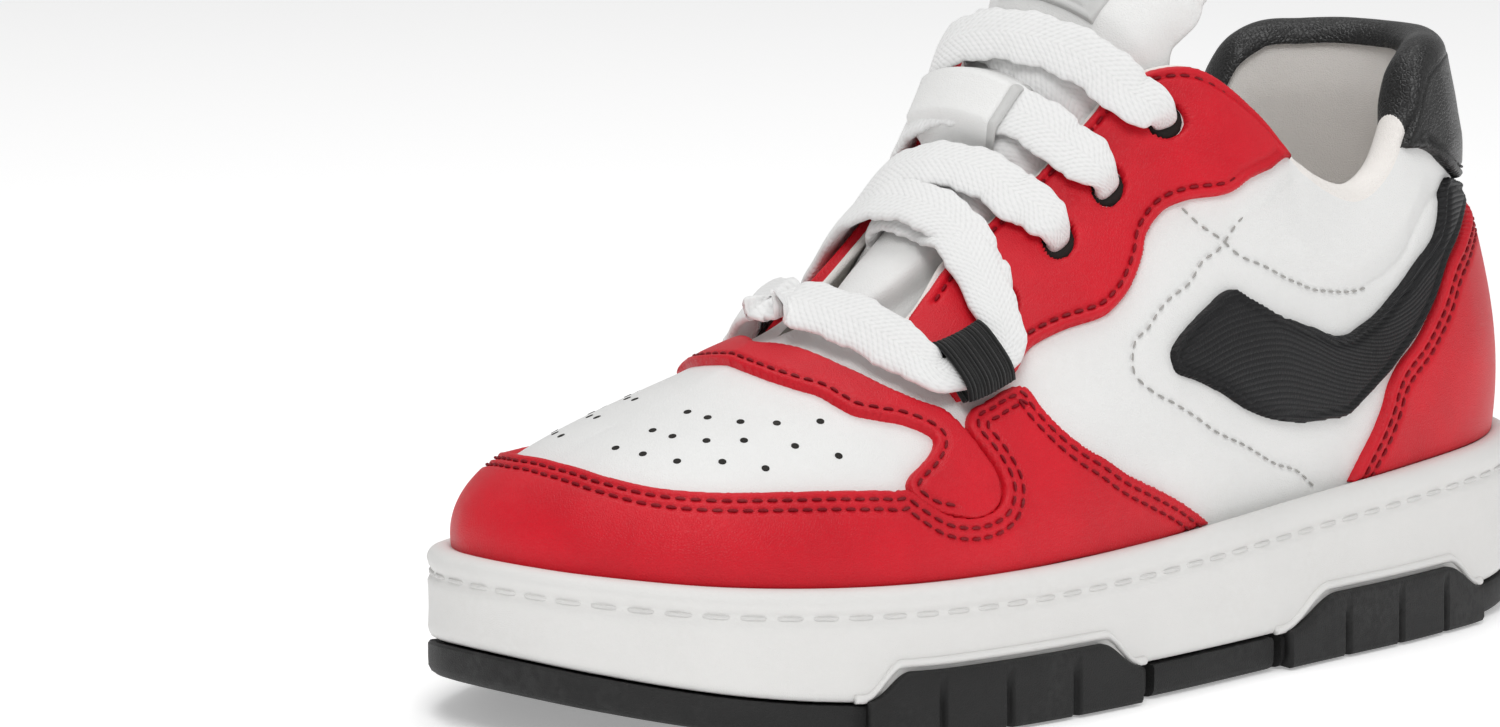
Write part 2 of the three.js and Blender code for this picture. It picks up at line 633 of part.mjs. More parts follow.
// Over the toe from side to side: the two top edges are welded along the ridge.
function toeShell(end, rows, along, [inner, outer]) {
  const half = [...range(0, RIDGE_END, along), ...(end > RIDGE_END ? [end] : [])];
  const stations = [...half.slice(1).reverse().map((s) => -s), ...half];
  const columns = stations.length - 1;
  const meets = (i) => Math.abs(stations[i]) <= RIDGE_END && Math.abs(stations[i + 1]) <= RIDGE_END;
  const at = (i, j, top) => {
    const t = -TUCK + ((1 + TUCK) * j) / rows;
    return skin(stations[i], t, top ? outer : inner);
  };
  return shell(columns, rows, at, meets);
}
add("toe_vamp", toeShell(VAMP_END, 6, 12, BASE), WHITE);
add("vamp_lining", toeShell(RIDGE_END, 5, 8, VAMP_LINED), CREAM);
const SHORT = 0.9 * TUCK; // the counter stops just short of the upper's lower edge
const HEEL_STEP = 0.4; // one grid for the plies inside the heel, so they lie parallel
const HEEL_GRID = range(5, AROUND - 5, (AROUND - 10) / HEEL_STEP);
const fromHeelGrid = (start, row) =>
  HEEL_GRID.filter((a) => a > start - 0.01 && a < AROUND - start + 0.01).map((a) => row(a, Math.min(a, AROUND - a)));
const COUNTER_PAIRS = fromHeelGrid(8.2, (a, s) => [a, -SHORT, a, 0.28 + 0.12 * ease(8.2, 10, s)]);
add("heel_counter", panel(COUNTER_PAIRS, COUNTER_PAIRS.length - 1, 3, ...STIFF), BOARD);

const punch = (side, depth) =>
  joined(
    EYELETS.map(({ s, v }) => {
      const from = new THREE.Vector3(...deck(s, side * v, -depth));
      const to = new THREE.Vector3(...deck(s, side * v, depth));
      const drill = new THREE.CylinderGeometry(EYELET / 2, EYELET / 2, from.distanceTo(to), 8);
      const upright = new THREE.Vector3(0, 1, 0);
      drill.applyQuaternion(new THREE.Quaternion().setFromUnitVectors(upright, to.clone().sub(from).normalize()));
      const middle = from.add(to).multiplyScalar(0.5);
      return solidOf(drill.translate(middle.x, middle.y, middle.z).deleteAttribute("uv").deleteAttribute("normal"));
    }),
  );

const HEEL_SEAM = 0.02; // stations between the middle of the heel and each quarter
const quarterTop = (s) => 0.99 - 0.13 * (1 - ease(QUARTER_START - 0.2, 5.5, s));
const QUARTER_PAIRS = range(QUARTER_START, HEEL - HEEL_SEAM, 24).map((s) => [s, -TUCK, s, quarterTop(s)]);
const EYESTAY_PAIRS = [
  [4.965, 0.605, 4.91, 0.87], [5.12, 0.605, 5.05, 0.92], [5.3, 0.615, 5.25, 0.96], [5.42, 0.62, 5.45, 0.985],
  [5.5, 0.645, 5.6, 0.99], [5.6, 0.66, 5.75, 0.99], [5.8, 0.65, 5.95, 0.99], [6.05, 0.62, 6.12, 0.99],
  [6.2, 0.628, 6.26, 0.99], [6.3, 0.648, 6.36, 0.99], [6.4, 0.68, 6.46, 0.99], [6.48, 0.715, 6.55, 0.99],
  [6.6, 0.728, 6.66, 0.99], [6.75, 0.712, 6.78, 0.99], [6.92, 0.7, 6.93, 0.99], [7.04, 0.735, 7.08, 0.99],
  [7.22, 0.815, 7.25, 0.99], [7.36, 0.9, 7.4, 0.99], [7.47, 0.965, 7.52, 0.985],
];
const STRIPE_PAIRS = [
  [6.345, 0.43, 6.4, 0.46], [6.38, 0.385, 6.5, 0.48], [6.48, 0.35, 6.66, 0.49], [6.6, 0.3, 6.8, 0.5],
  [6.74, 0.24, 6.9, 0.465], [6.89, 0.2, 7.04, 0.43], [7.05, 0.18, 7.2, 0.43], [7.23, 0.178, 7.38, 0.44],
  [7.39, 0.188, 7.52, 0.447], [7.53, 0.2, 7.68, 0.47], [7.68, 0.245, 7.83, 0.51], [7.86, 0.3, 8.01, 0.55],
  [7.99, 0.335, 8.16, 0.58], [8.12, 0.37, 8.34, 0.595], [8.3, 0.405, 8.5, 0.6], [8.56, 0.45, 8.68, 0.61],
  [8.9, 0.525, 8.9, 0.66], [9.3, 0.58, 9.25, 0.655],
];
const mirrored = (pairs) => pairs.map(([a0, t0, a1, t1]) => [-a0, t0, -a1, t1]).reverse();
for (const [side, name, face] of [[-1, "lateral", (p) => p], [1, "medial", mirrored]]) {
  const holes = punch(side, 5);
  const quarter = solidOf(panel(face(QUARTER_PAIRS), 28, 6, ...BASE));
  add(`quarter_${name}`, geometryOf(quarter.subtract(holes)), WHITE);
  const eyestay = solidOf(panel(face(EYESTAY_PAIRS), 26, 2, ...OVER));
  add(`eyestay_${name}`, geometryOf(eyestay.subtract(holes)), RED);
  add(`side_stripe_${name}`, panel(face(STRIPE_PAIRS), 20, 2, ...OVER), BLACK_LEATHER);
}

const liningTop = (s) => 0.66 + 0.34 * ease(6.8, 7.3, s);
const LINING_PAIRS = fromHeelGrid(HEEL_GRID[0], (a, s) => [a, -TUCK, a, liningTop(s)]);
// How far the collar foam pushes the lining in at station a, height t.
function padding(a, t) {
  const s = a > HEEL ? AROUND - a : a;
  const body = ease(0.45, 0.7, t) * (1 - ease(0.84, 1, t)) * ease(6.9, 7.5, s);
  return COLLAR_PAD * body - 0.7 * ease(0.9, 1, t);
}
const lined = (a, t, height) => skin(a, t, height - padding(a, t));
add("quarter_lining", panel(LINING_PAIRS, LINING_PAIRS.length - 1, 6, ...LINED, lined), CREAM);
const foamed = (a, t, share) => {
  const outer = BASE[0] - PLY_GAP;
  const inner = LINED[1] + PLY_GAP - padding(a, t);
  return skin(a, t, lerp([inner], [outer], share)[0]);
};
const FOAM_PAIRS = fromHeelGrid(7.4, (a) => [a, 0.4375, a, 0.8125]);
add("collar_foam", panel(FOAM_PAIRS, FOAM_PAIRS.length - 1, 2, 0, 1, foamed), FOAM);

// ---------------------------------------------------------------- upper: panels sewn on top
const MUDGUARD_PAIRS = [
  [0, LOW, 0, 0.6], [0.75, LOW, 0.75, 0.585], [1.5, LOW, 1.5, 0.545], [2, LOW, 2, 0.49], [2.5, LOW, 2.5, 0.425],
  [3, LOW, 3, 0.385], [3.5, LOW, 3.5, 0.362], [3.95, LOW, 3.95, 0.34], [4.15, LOW, 4.27, 0.312],
  [4.35, LOW, 4.42, 0.245], [4.5, LOW, 4.55, 0.198], [4.68, LOW, 4.72, 0.178], [4.85, LOW, 4.88, 0.186],
  [4.98, LOW, 4.99, 0.22], [5.06, LOW, 5.035, 0.29], [5.12, LOW, 5.01, 0.4], [5.18, LOW, 4.965, 0.5],
  [5.3, LOW, 5.08, 0.565], [5.45, LOW, 5.31, 0.582], [5.6, LOW, 5.41, 0.56], [5.75, LOW, 5.45, 0.48],
  [5.9, LOW, 5.52, 0.4], [6.02, LOW, 5.61, 0.335], [6.12, LOW, 5.73, 0.275], [6.22, LOW, 5.86, 0.21],
  [6.3, LOW, 6.03, 0.15], [6.37, LOW, 6.23, 0.085], [6.43, LOW, 6.42, 0.03],
];
add("mudguard", panel(roundToe(MUDGUARD_PAIRS), 60, 4, ...OVER), RED);

// The band runs over the ridge: past the middle its height counts on from 1 towards 2.
const BAND_PAIRS = [
  [4.62, 0.215, 4.7, 0.205], [4.47, 0.252, 4.87, 0.215], [4.36, 0.318, 4.97, 0.27], [4.43, 0.36, 4.985, 0.33],
  [4.56, 0.4, 4.95, 0.41], [4.67, 0.45, 4.915, 0.49], [4.7, 0.485, 4.89, 0.535], [4.6, 0.53, 4.85, 0.58],
  [4.45, 0.56, 4.75, 0.615], [4.31, 0.6, 4.64, 0.67], [4.25, 0.65, 4.57, 0.73], [4.2, 0.71, 4.5, 0.8],
  [4.1, 0.77, 4.44, 0.89], [3.88, 0.87, 4.38, 0.95], [3.5, 1, 4.32, 1],
];
const overRidge = (pairs) => [
  ...pairs,
  ...pairs.slice(0, -1).reverse().map(([a0, t0, a1, t1]) => [a0, 2 - t0, a1, 2 - t1]),
];
const flip = (pairs) => pairs.map(([a0, t0, a1, t1]) => [a1, t1, a0, t0]);
add("vamp_band", panel(flip(overRidge(BAND_PAIRS)), 38, 2, ...OVER), RED);

const OVER_HEEL = OVER.map((height) => height + 0.25); // the tight turn needs a little more air
add(
  "heel_overlay",
  panel(
    roundHeel([
      [7.56, LOW, 7.57, 0.03], [7.66, LOW, 7.66, 0.075], [7.8, LOW, 7.78, 0.145], [7.95, LOW, 7.89, 0.22],
      [8.1, LOW, 7.97, 0.285], [8.3, LOW, 8.1, 0.345], [8.5, LOW, 8.3, 0.383], [8.8, LOW, 8.56, 0.43],
      [9.1, LOW, 8.9, 0.505], [9.5, LOW, 9.4, 0.565], [10.2, LOW, 10.2, 0.605], [11, LOW, 11, 0.615],
    ]),
    30, 5, ...OVER_HEEL,
  ),
  RED,
);
add(
  "heel_tab",
  panel(
    roundHeel([
      [8.37, 0.965, 8.4, 0.99], [8.44, 0.92, 8.48, 0.99], [8.58, 0.86, 8.62, 0.99], [8.77, 0.785, 8.8, 0.99],
      [8.96, 0.725, 8.98, 0.99], [9.3, 0.672, 9.3, 0.99], [9.8, 0.645, 9.8, 0.99], [10.4, 0.635, 10.4, 0.99],
      [11, 0.635, 11, 0.99],
    ]),
    20, 2, ...OVER,
  ),
  BLACK_LEATHER,
);

// ---------------------------------------------------------------- tongue
const TONGUE_START = 4.62; // its front end lies under the vamp
const SEAM = 6.72; // the padded top is sewn on here, and bends along this line
const SEAM_SLACK = 0.07; // stations left open below the seam
const TONGUE_HALF = 1.1; // deck units each side of the middle
const TONGUE_SPLAY = 0.2; // it is that much wider at its front end
const tongueTop = (v) => -1.5 - (0.6 + LACE_THICKNESS) * ease(0.6, 0.95, Math.abs(v));
const COVER = [-TONGUE_SKIN, 0];
const PADDING = [COVER[0] - PLY_GAP - TONGUE_FOAM, COVER[0] - PLY_GAP];
const BACKING = [PADDING[0] - PLY_GAP - TONGUE_LINING, PADDING[0] - PLY_GAP];
const onTongue = (s, v, height) => deck(s, v, tongueTop(v) + height);
const tongueLayer = (layer, trim) => {
  const pairs = range(TONGUE_START, SEAM - SEAM_SLACK, 8).map((s) => {
    const half = TONGUE_HALF - trim + TONGUE_SPLAY * (1 - ease(TONGUE_START, 5, s));
    return [s, -half, s, half];
  });
  return panel(pairs, 9, 8, ...layer, onTongue);
};
add("tongue_cover", tongueLayer(COVER, 0), WHITE);
add("tongue_foam", tongueLayer(PADDING, 0.06), FOAM);
add("tongue_lining", tongueLayer(BACKING, 0.06), CREAM);

// The top pad: the seam's own arch carried up and back, spreading as it goes.
const TOP_PAD = { run: 14, rise: 17.5, spread: 0.45, crown: 0.35, round: 0.3, start: 0.09, half: 0.83 };
function topPadPoint(u, v) {
  const [x, y, z] = deckPoint(SEAM, v);
  const crown = deckPoint(SEAM, 0);
  return [
    x + TOP_PAD.run * u * (1 + 0.15 * u) - (crown[0] - x) * 0.2 * u,
    crown[1] + (y - crown[1]) * (1 + TOP_PAD.spread * u),
    crown[2] - (crown[2] - z) * (1 + TOP_PAD.crown * u) + TOP_PAD.rise * u,
  ];
}
const onTopPad = (u, v, height) => offSurface(topPadPoint, u, v, tongueTop(v * 0.7) + height);
function topPadLayer(layer, trim) {
  const reach = TOP_PAD.half - trim;
  const pairs = range(-reach, reach, 10).map((v) => {
    const end = 1 - TOP_PAD.round * (Math.abs(v) / reach) ** 3 - trim * 0.6;
    return [TOP_PAD.start, v, end, v];
  });
  const at = (v, u, height) => onTopPad(u, v, height);
  const turned = pairs.map(([u0, v0, u1, v1]) => [v0, u0, v1, u1]).reverse();
  return panel(turned, 8, 4, ...layer, at);
}
add("tongue_top_cover", topPadLayer(COVER, 0), WHITE);
add("tongue_top_foam", topPadLayer(PADDING, 0.06), FOAM);
add("tongue_top_lining", topPadLayer(BACKING, 0.06), CREAM);

const LABEL = { from: 0.14, to: 0.46, half: 0.5, thickness: 0.5 };
add(
  "tongue_label",
  panel(
    [[LABEL.half, LABEL.from, LABEL.half, LABEL.to], [-LABEL.half, LABEL.from, -LABEL.half, LABEL.to]],
    6, 2, GAP, GAP + LABEL.thickness, (v, u, height) => onTopPad(u, v, height),
  ),
  GREY,
);
const KEEPER = { from: 6.02, to: 6.44, near: -0.3, far: 0.72, height: 0.6 + 2.25 * LACE_THICKNESS, thickness: 0.7 };
add(
  "lace_keeper",
  panel(
    [[KEEPER.from, KEEPER.near, KEEPER.from, KEEPER.far], [KEEPER.to, KEEPER.near, KEEPER.to, KEEPER.far]],
    4, 6, KEEPER.height, KEEPER.height + KEEPER.thickness, deck,
  ),
  WHITE,
);

// ---------------------------------------------------------------- lace and its two loops
const LOOP = { toe: [4.95, 0.555, 4.95, 0.76], heel: [5.3, 0.58, 5.28, 0.775] };
const LACE_IN_LOOP = 3.1; // height of the lace's middle above the skin inside a loop
function laceLoop(side) {
  const leg = LACE_IN_LOOP - LACE_THICKNESS / 2 - 1.3 * GAP - WEBBING / 2;
  const roof = LACE_IN_LOOP + LACE_THICKNESS / 2 + 2 * GAP + WEBBING / 2;
  const path = [
    [0, roof - 1.5], [0.14, roof - 0.4], [0.35, roof], [0.75, roof - 0.1], [0.95, roof - 0.7],
    [1, (roof + leg) / 2], [0.95, leg + 0.3], [0.75, leg], [0.35, leg], [0.1, leg],
  ];
  const knots = path.map((_, i) => i);
  const columns = 2;
  const rows = 14;
  const on = (s, t, height) => skin(-side * s, t, height);
  const ends = side < 0 ? [LOOP.toe, LOOP.heel] : [LOOP.heel, LOOP.toe];
  const wide = unit(
    on(ends[1][0], 0.66, 2).map((c, n) => c - on(ends[0][0], 0.66, 2)[n]),
  );
  const at = (i, j, top) => {
    const place = (k) => {
      const [reach, height] = through(knots, path, k);
      const row = lerp(...ends, i / columns);
      return on(...lerp([row[0], row[1]], [row[2], row[3]], reach), height);
    };
    const k = ((path.length - 1) * j) / rows;
    const ahead = place(Math.min(k + 0.05, path.length - 1));
    const behind = place(Math.max(k - 0.05, 0));
    const out = unit(cross(wide, ahead.map((c, n) => c - behind[n])));
    return place(k).map((c, n) => c + out[n] * (top ? 0.5 : -0.5) * WEBBING);
  };
  return shell(columns, rows, at);
}
add("lace_loop_lateral", laceLoop(-1), BLACK_LEATHER);
add("lace_loop_medial", laceLoop(1), BLACK_LEATHER);


// The lace is one strip. Its path is a list of places, each with the way its width points.
const LACE = { over: OVER[1] + GAP + 0.1 + LACE_THICKNESS / 2, narrow: 0.47, perPlace: 1.15 };
const throatWay = (s, v) => unit(deckPoint(s + 0.01, v).map((c, n) => c - deckPoint(s - 0.01, v)[n]));
const under = (v) => {
  const raised = 0.2 + 0.48 * (1 - ease(0.6, 0.95, Math.abs(v)));
  return tongueTop(v) + GAP + LACE_THICKNESS / 2 + raised;
};
const acrossLace = (s, v, height) => [...deck(s, v, height), ...throatWay(s, v).map((c) => -c), 1];

// Through a hole: out along the top from `towards`, down, and back along the underside.
function turnThrough(hole, side, over, below) {
  const { s, v } = hole;
  const middle = deck(s, side * v, 0);
  const up = unit(deck(s, side * v, 1).map((c, n) => c - middle[n]));
  const heading = (other) => {
    const aim = deck(other.s, side * other.v, 0).map((c, n) => c - middle[n]);
    const lift = aim[0] * up[0] + aim[1] * up[1] + aim[2] * up[2];
    return unit(aim.map((c, n) => c - up[n] * lift));
  };
  const top = heading(over);
  const bottom = heading(below);
  const way = throatWay(s, side * v).map((c) => -c);
  const place = (along, distance, height, width) => [
    ...middle.map((c, n) => c + along[n] * distance + up[n] * height),
    ...way,
    width,
  ];
  const low = under(1);
  return [
    place(top, 5.6, LACE.over + 0.1, 1),
    place(top, 3.2, LACE.over + 0.25, 0.85),
    place(top, 1.5, LACE.over + 0.15, 0.56),
    place(top, 0.3, 1.3, LACE.narrow),
    place(top, 0, 0.1, LACE.narrow),
    place(bottom, 0.3, -1.2, LACE.narrow),
    place(bottom, 1.5, low + 0.05, 0.52),
    place(bottom, 3.3, low - 0.02, 0.8),
  ];
}
// Straight across between two places given as station and deck position.
function across(from, to, height) {
  const steps = [1.02, 0.8, 0.5, 0.15, -0.15, -0.5, -0.8, -1.02].map((v) => v * Math.sign(from.v - to.v));
  const lead = 0.27;
  return steps.map((v) => {
    const w = lead + ((1 - 2 * lead) * (1 - v * Math.sign(from.v - to.v))) / 2;
    const [s] = lerp([from.s], [to.s], w);
    return acrossLace(s, v, height(v));
  });
}
const atHole = (row, side) => ({ s: EYELETS[row].s, v: side * EYELETS[row].v });
const overTop = (v) => LACE.over + 0.15 + 0.2 * ease(0.7, 1, Math.abs(v));
const LOOP_STATION = 5.13;
const LOOP_ENTRY = 5.45; // the lace comes down to the loop from here
const LOOP_DECK = 1.68;
const BAR = { s: 4.6, v: 0.75 };

function laceHalf(side) {
  // from the tucked end at the outer top hole (side -1) or the inner one (side 1) to a loop
  const other = -side;
  const path = [];
  if (side < 0) {
    path.push(...turnThrough(EYELETS[0], side, { s: 6.66, v: 1 }, { s: 6.9, v: 1 }).reverse());
    path.push(...across(atHole(0, side), atHole(1, other), overTop));
    path.push(...turnThrough(EYELETS[1], other, { s: 6.5, v: 1 }, { s: 6.3, v: 1 }));
    path.push(...across(atHole(1, other), atHole(2, side), under));
    path.push(...turnThrough(EYELETS[2], side, { s: 5.9, v: 1 }, { s: 6.12, v: 1 }).reverse());
    path.push(...across(atHole(2, side), atHole(3, other), overTop));
    path.push(...turnThrough(EYELETS[3], other, { s: 5.66, v: 1 }, { s: 5.44, v: 1 }));
    path.push(...across(atHole(3, other), { s: LOOP_ENTRY, v: -LOOP_DECK }, under).slice(0, 6));
  } else {
    path.push(...across({ s: 6.76, v: 1.2 }, atHole(1, other), under).slice(1));
    path.push(...turnThrough(EYELETS[1], other, { s: 6.3, v: 1 }, { s: 6.5, v: 1 }).reverse());
    path.push(...across(atHole(1, other), atHole(2, side), overTop));
    path.push(...turnThrough(EYELETS[2], side, { s: 6.12, v: 1 }, { s: 5.9, v: 1 }));
    path.push(...across(atHole(2, side), atHole(3, other), under));
    path.push(...turnThrough(EYELETS[3], other, { s: 5.44, v: 1 }, { s: 5.66, v: 1 }).reverse());
    path.push(...across(atHole(3, other), { s: LOOP_ENTRY, v: LOOP_DECK }, overTop).slice(0, 6));
  }
  // over the eyestay edge, through the loop towards the toe, and round into the bottom bar
  const on = (s, v, height) => deck(s, side * v, height);
  const inLoop = unit(on(LOOP_STATION, LOOP_DECK - 0.1, 0).map((c, n) => c - on(LOOP_STATION, LOOP_DECK, 0)[n]));
  const turning = (s, v, height, w, width) => {
    const way = throatWay(s, side * v).map((c) => -c);
    return [...on(s, v, height), ...unit(lerp(way, inLoop, w)), width];
  };
  path.push(turning(5.47, 1.02, LACE.over + 0.5, 0.25, 0.95));
  path.push(turning(5.43, 1.42, LACE_IN_LOOP + 0.2, 0.7, 0.84));
  path.push(turning(5.34, LOOP_DECK - 0.03, LACE_IN_LOOP + 0.05, 1, 0.72));
  path.push(turning(LOOP_STATION, LOOP_DECK, LACE_IN_LOOP, 1, 0.72));
  path.push(turning(4.9, LOOP_DECK, LACE_IN_LOOP - 0.05, 1, 0.68));
  const back = throatWay(BAR.s, side * BAR.v);
  const corner = (s, v, height, w, width) => [...on(s, v, height), ...unit(lerp(inLoop, back, w)), width];
  path.push(corner(4.81, LOOP_DECK - 0.14, LACE_IN_LOOP + 0.4, 0.3, 0.85));
  path.push(corner(4.72, LOOP_DECK - 0.4, LACE_IN_LOOP + 0.9, 0.7, 0.95));
  path.push(corner(BAR.s + 0.03, 1.02, LACE_IN_LOOP + 1, 0.93, 1));
  path.push(corner(BAR.s, BAR.v, LACE_IN_LOOP + 0.8, 1, 1));
  return path;
}

function lace() {
  const inner = laceHalf(1).reverse();
  const path = [...laceHalf(-1), corner0(), ...inner];
  const knots = path.map((_, i) => i);
  const total = path.length - 1;
  const sections = Math.round(total * LACE.perPlace);
  const rim = [[-0.5, 0], [-0.4, -0.5], [0.4, -0.5], [0.5, 0], [0.4, 0.5], [-0.4, 0.5]];
  const points = [];
  const faces = [];
  const sides = rim.length;
  for (let i = 0; i <= sections; i += 1) {
    const at = (total * i) / sections;
    const here = through(knots, path, at);
    const ahead = through(knots, path, Math.min(at + 0.02, total));
    const behind = through(knots, path, Math.max(at - 0.02, 0));
    const along = unit([0, 1, 2].map((n) => ahead[n] - behind[n]));
    const hint = here.slice(3, 6);
    const tilt = hint[0] * along[0] + hint[1] * along[1] + hint[2] * along[2];
    const wide = unit(hint.map((c, n) => c - along[n] * tilt));
    const thick = cross(wide, along);
    for (const [w, h] of rim)
      points.push(
        [0, 1, 2].map((n) => here[n] + wide[n] * w * LACE_WIDTH * here[6] + thick[n] * h * LACE_THICKNESS),
      );
  }
  for (let i = 0; i < sections; i += 1)
    for (let j = 0; j < sides; j += 1) {
      const [a, b] = [i * sides + j, i * sides + ((j + 1) % sides)];
      faces.push([a, b + sides, b], [a, a + sides, b + sides]);
    }
  const last = sections * sides;
  for (let j = 1; j < sides - 1; j += 1) {
    faces.push([0, j, j + 1], [last, last + j + 1, last + j]);
  }
  return meshOf(points, faces);
}
const corner0 = () => [...deck(BAR.s, 0, LACE_IN_LOOP + 0.5), ...throatWay(BAR.s, 0), 1];
add("lace", lace(), COTTON);

// Stand the shoe on z = 0, with the middle of its box in plan at the origin.
const box = new THREE.Box3().setFromObject(shoe, true);
const middle = box.getCenter(new THREE.Vector3());
shoe.position.set(-middle.x, -middle.y, -box.min.z);

export default shoe;
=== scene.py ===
import math

import bpy
import bmesh
import numpy as np
from mathutils import Matrix, Vector


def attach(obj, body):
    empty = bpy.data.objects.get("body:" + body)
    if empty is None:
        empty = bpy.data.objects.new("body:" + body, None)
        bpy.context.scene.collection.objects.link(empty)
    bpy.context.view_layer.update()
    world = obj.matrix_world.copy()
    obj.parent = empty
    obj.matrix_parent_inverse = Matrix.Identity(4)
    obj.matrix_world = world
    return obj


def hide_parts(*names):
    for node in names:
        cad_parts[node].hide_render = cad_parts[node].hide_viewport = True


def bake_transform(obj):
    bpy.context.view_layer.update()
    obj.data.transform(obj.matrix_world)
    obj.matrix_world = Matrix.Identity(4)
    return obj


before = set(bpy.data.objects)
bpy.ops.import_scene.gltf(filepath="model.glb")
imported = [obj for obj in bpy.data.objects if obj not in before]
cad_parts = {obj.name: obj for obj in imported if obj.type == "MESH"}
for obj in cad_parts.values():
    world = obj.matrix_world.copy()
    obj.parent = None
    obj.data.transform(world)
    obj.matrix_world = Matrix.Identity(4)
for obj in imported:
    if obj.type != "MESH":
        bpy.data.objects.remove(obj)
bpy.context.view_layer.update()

# Lengths are in millimetres until a mesh is made.
MM = 0.001
CENTRING = np.array([0.0, 0.3148, 0.0])  # the shoe's box in plan is centred on the origin

# ---------------------------------------------------------------- curves through points


def curve_at(knots, values, at):
    """A smooth curve through values at the knots: on each span a cubic, whose slope at a knot is the rise over
    the run between that knot's two neighbours. `at` may be any array."""
    k = np.asarray(knots, float)
    v = np.asarray(values, float)
    u = np.clip(np.asarray(at, float), k[0], k[-1])
    i = np.clip(np.searchsorted(k, u, side="right") - 1, 0, len(k) - 2)
    lo = np.maximum(np.arange(len(k)) - 1, 0)
    hi = np.minimum(np.arange(len(k)) + 1, len(k) - 1)
    run = k[hi] - k[lo]
    span = k[i + 1] - k[i]
    w = (u - k[i]) / span
    if v.ndim == 2:
        run, span, w = run[:, None], span[..., None], w[..., None]
    slope = (v[hi] - v[lo]) / run
    return ((2 * w**3 - 3 * w**2 + 1) * v[i] + (w**3 - 2 * w**2 + w) * span * slope[i] + (3 * w**2 - 2 * w**3)
        * v[i + 1] + (w**3 - w**2) * span * slope[i + 1])


def ease(start, end, value):
    """0 before start, 1 after end, and a smooth S between: 3w^2 - 2w^3."""
    w = np.clip((np.asarray(value, float) - start) / (end - start), 0, 1)
    return w * w * (3 - 2 * w)


def unit(vectors):
    return vectors / np.maximum(np.linalg.norm(vectors, axis=-1, keepdims=True), 1e-12)


# ---------------------------------------------------------------- the sole's outline and heights
OUTER_EDGE = [(-93, 7), (-92, -3), (-88, -13), (-76, -26.5), (-55, -35.5), (-32, -38.5), (-5, -37.5), (25, -34),
    (52, -31), (74, -25.5), (88, -14.5), (93, 0)]
INNER_EDGE = [(-91, 16), (-84, 25), (-68, 34), (-48, 38), (-25, 35.5), (0, 29), (25, 27.5), (52, 29.5), (74, 25),
    (88, 14.5)]
HEEL = 11
AROUND = 22
EDGE = np.array(OUTER_EDGE + INNER_EDGE[::-1], float)
EDGE_KNOTS = np.arange(-3, AROUND + 4)
EDGE_POINTS = EDGE[EDGE_KNOTS % AROUND]


def sole_edge(a, inset=0.0):
    """Plan point of the sole's edge at station a, moved in by inset along the edge's own normal, and that normal."""
    at = np.mod(np.asarray(a, float), AROUND)
    along = unit(curve_at(EDGE_KNOTS, EDGE_POINTS, at + 1e-3) - curve_at(EDGE_KNOTS, EDGE_POINTS, at - 1e-3))
    out = np.stack([along[..., 1], -along[..., 0]], -1)
    return curve_at(EDGE_KNOTS, EDGE_POINTS, at) - out * np.asarray(inset, float)[..., None], out


def bead_top(x):
    u = x / 93
    return 21.2 + 4.6 * u + 3.2 * u**2 - 3.7 * u**3


def groove_line(x):
    u = x / 93
    return 17.5 + 4.1 * u + 3.3 * u**2 - 3.4 * u**3


def ground(x):
    return 6.6 * (np.maximum(-45 - x, 0) / 48) ** 2 + 2.4 * (np.maximum(x - 62, 0) / 31) ** 2


# ---------------------------------------------------------------- the upper's skin
TOP_LINE = np.array([(0, -68.5, 0, 39.6, 20), (1, -67.8, 0, 39.9, 18), (2, -65.5, 0, 40.7, 14),
    (3, -60, 0, 42.6, 9), (4, -50, 0, 46.2, 6), (4.5, -42.5, 0, 49.2, 8), (5, -29, 7.2, 54.7, 38),
    (5.5, -17.5, 8.2, 60.2, 45), (6, -6, 9, 67.7, 48), (6.5, 4, 10.5, 76.2, 50), (6.75, 10, 12.4, 81.9, 54),
    (7, 18, 16.5, 83.4, 60), (7.25, 26, 20, 78, 70), (7.5, 33, 22, 71, 78), (7.75, 40, 22.5, 66.6, 84),
    (8, 46.5, 22.5, 65.2, 88), (8.25, 53, 21.7, 68.5, 88), (8.5, 58, 20.4, 75, 88), (8.75, 61.5, 19, 81, 87),
    (9, 66, 17.2, 83.6, 86), (9.5, 71.5, 13, 84.2, 85), (10, 75, 8.5, 84.5, 85), (10.5, 76.8, 4, 84.5, 85),
    (11, 77.3, 0, 84.5, 85)])
INNER_STAND = np.array([(0, 0, 0, 0), (4, 0, 0, 0), (4.6, 0, 0, 0), (5, 0, 0, 0), (5.5, -1, 1, 1),
    (6, -1.5, 2, 2.2), (6.5, -2.2, 3, 3.6), (6.75, -2.5, 3.6, 3.8), (7, -2.2, 3.4, 3.2), (7.25, -1.4, 2.4, 2),
    (7.5, -0.6, 1, 0.8), (8, 0, 0, 0), (8.5, 0, 0, 0), (11, 0, 0, 0)])
RIDGE_END = 4.5
WALL = 4.3
SKIN_INSET = WALL + 0.45
BULGE = ([0, 3, 5, 7, 8, 9, 10, 11], [2.6, 1.8, 1.6, 1, 0.5, 1.8, 3.2, 3.6])
FOOT_PULL = ([0, 3, 5, 6, 7, 8, 9, 11], [0.55, 0.55, 0.4, 0.36, 0.34, 0.36, 0.36, 0.36])
TOP_PULL = ([0, 3, 5, 6, 7, 8, 9, 11], [0.36, 0.44, 0.42, 0.4, 0.36, 0.36, 0.42, 0.45])


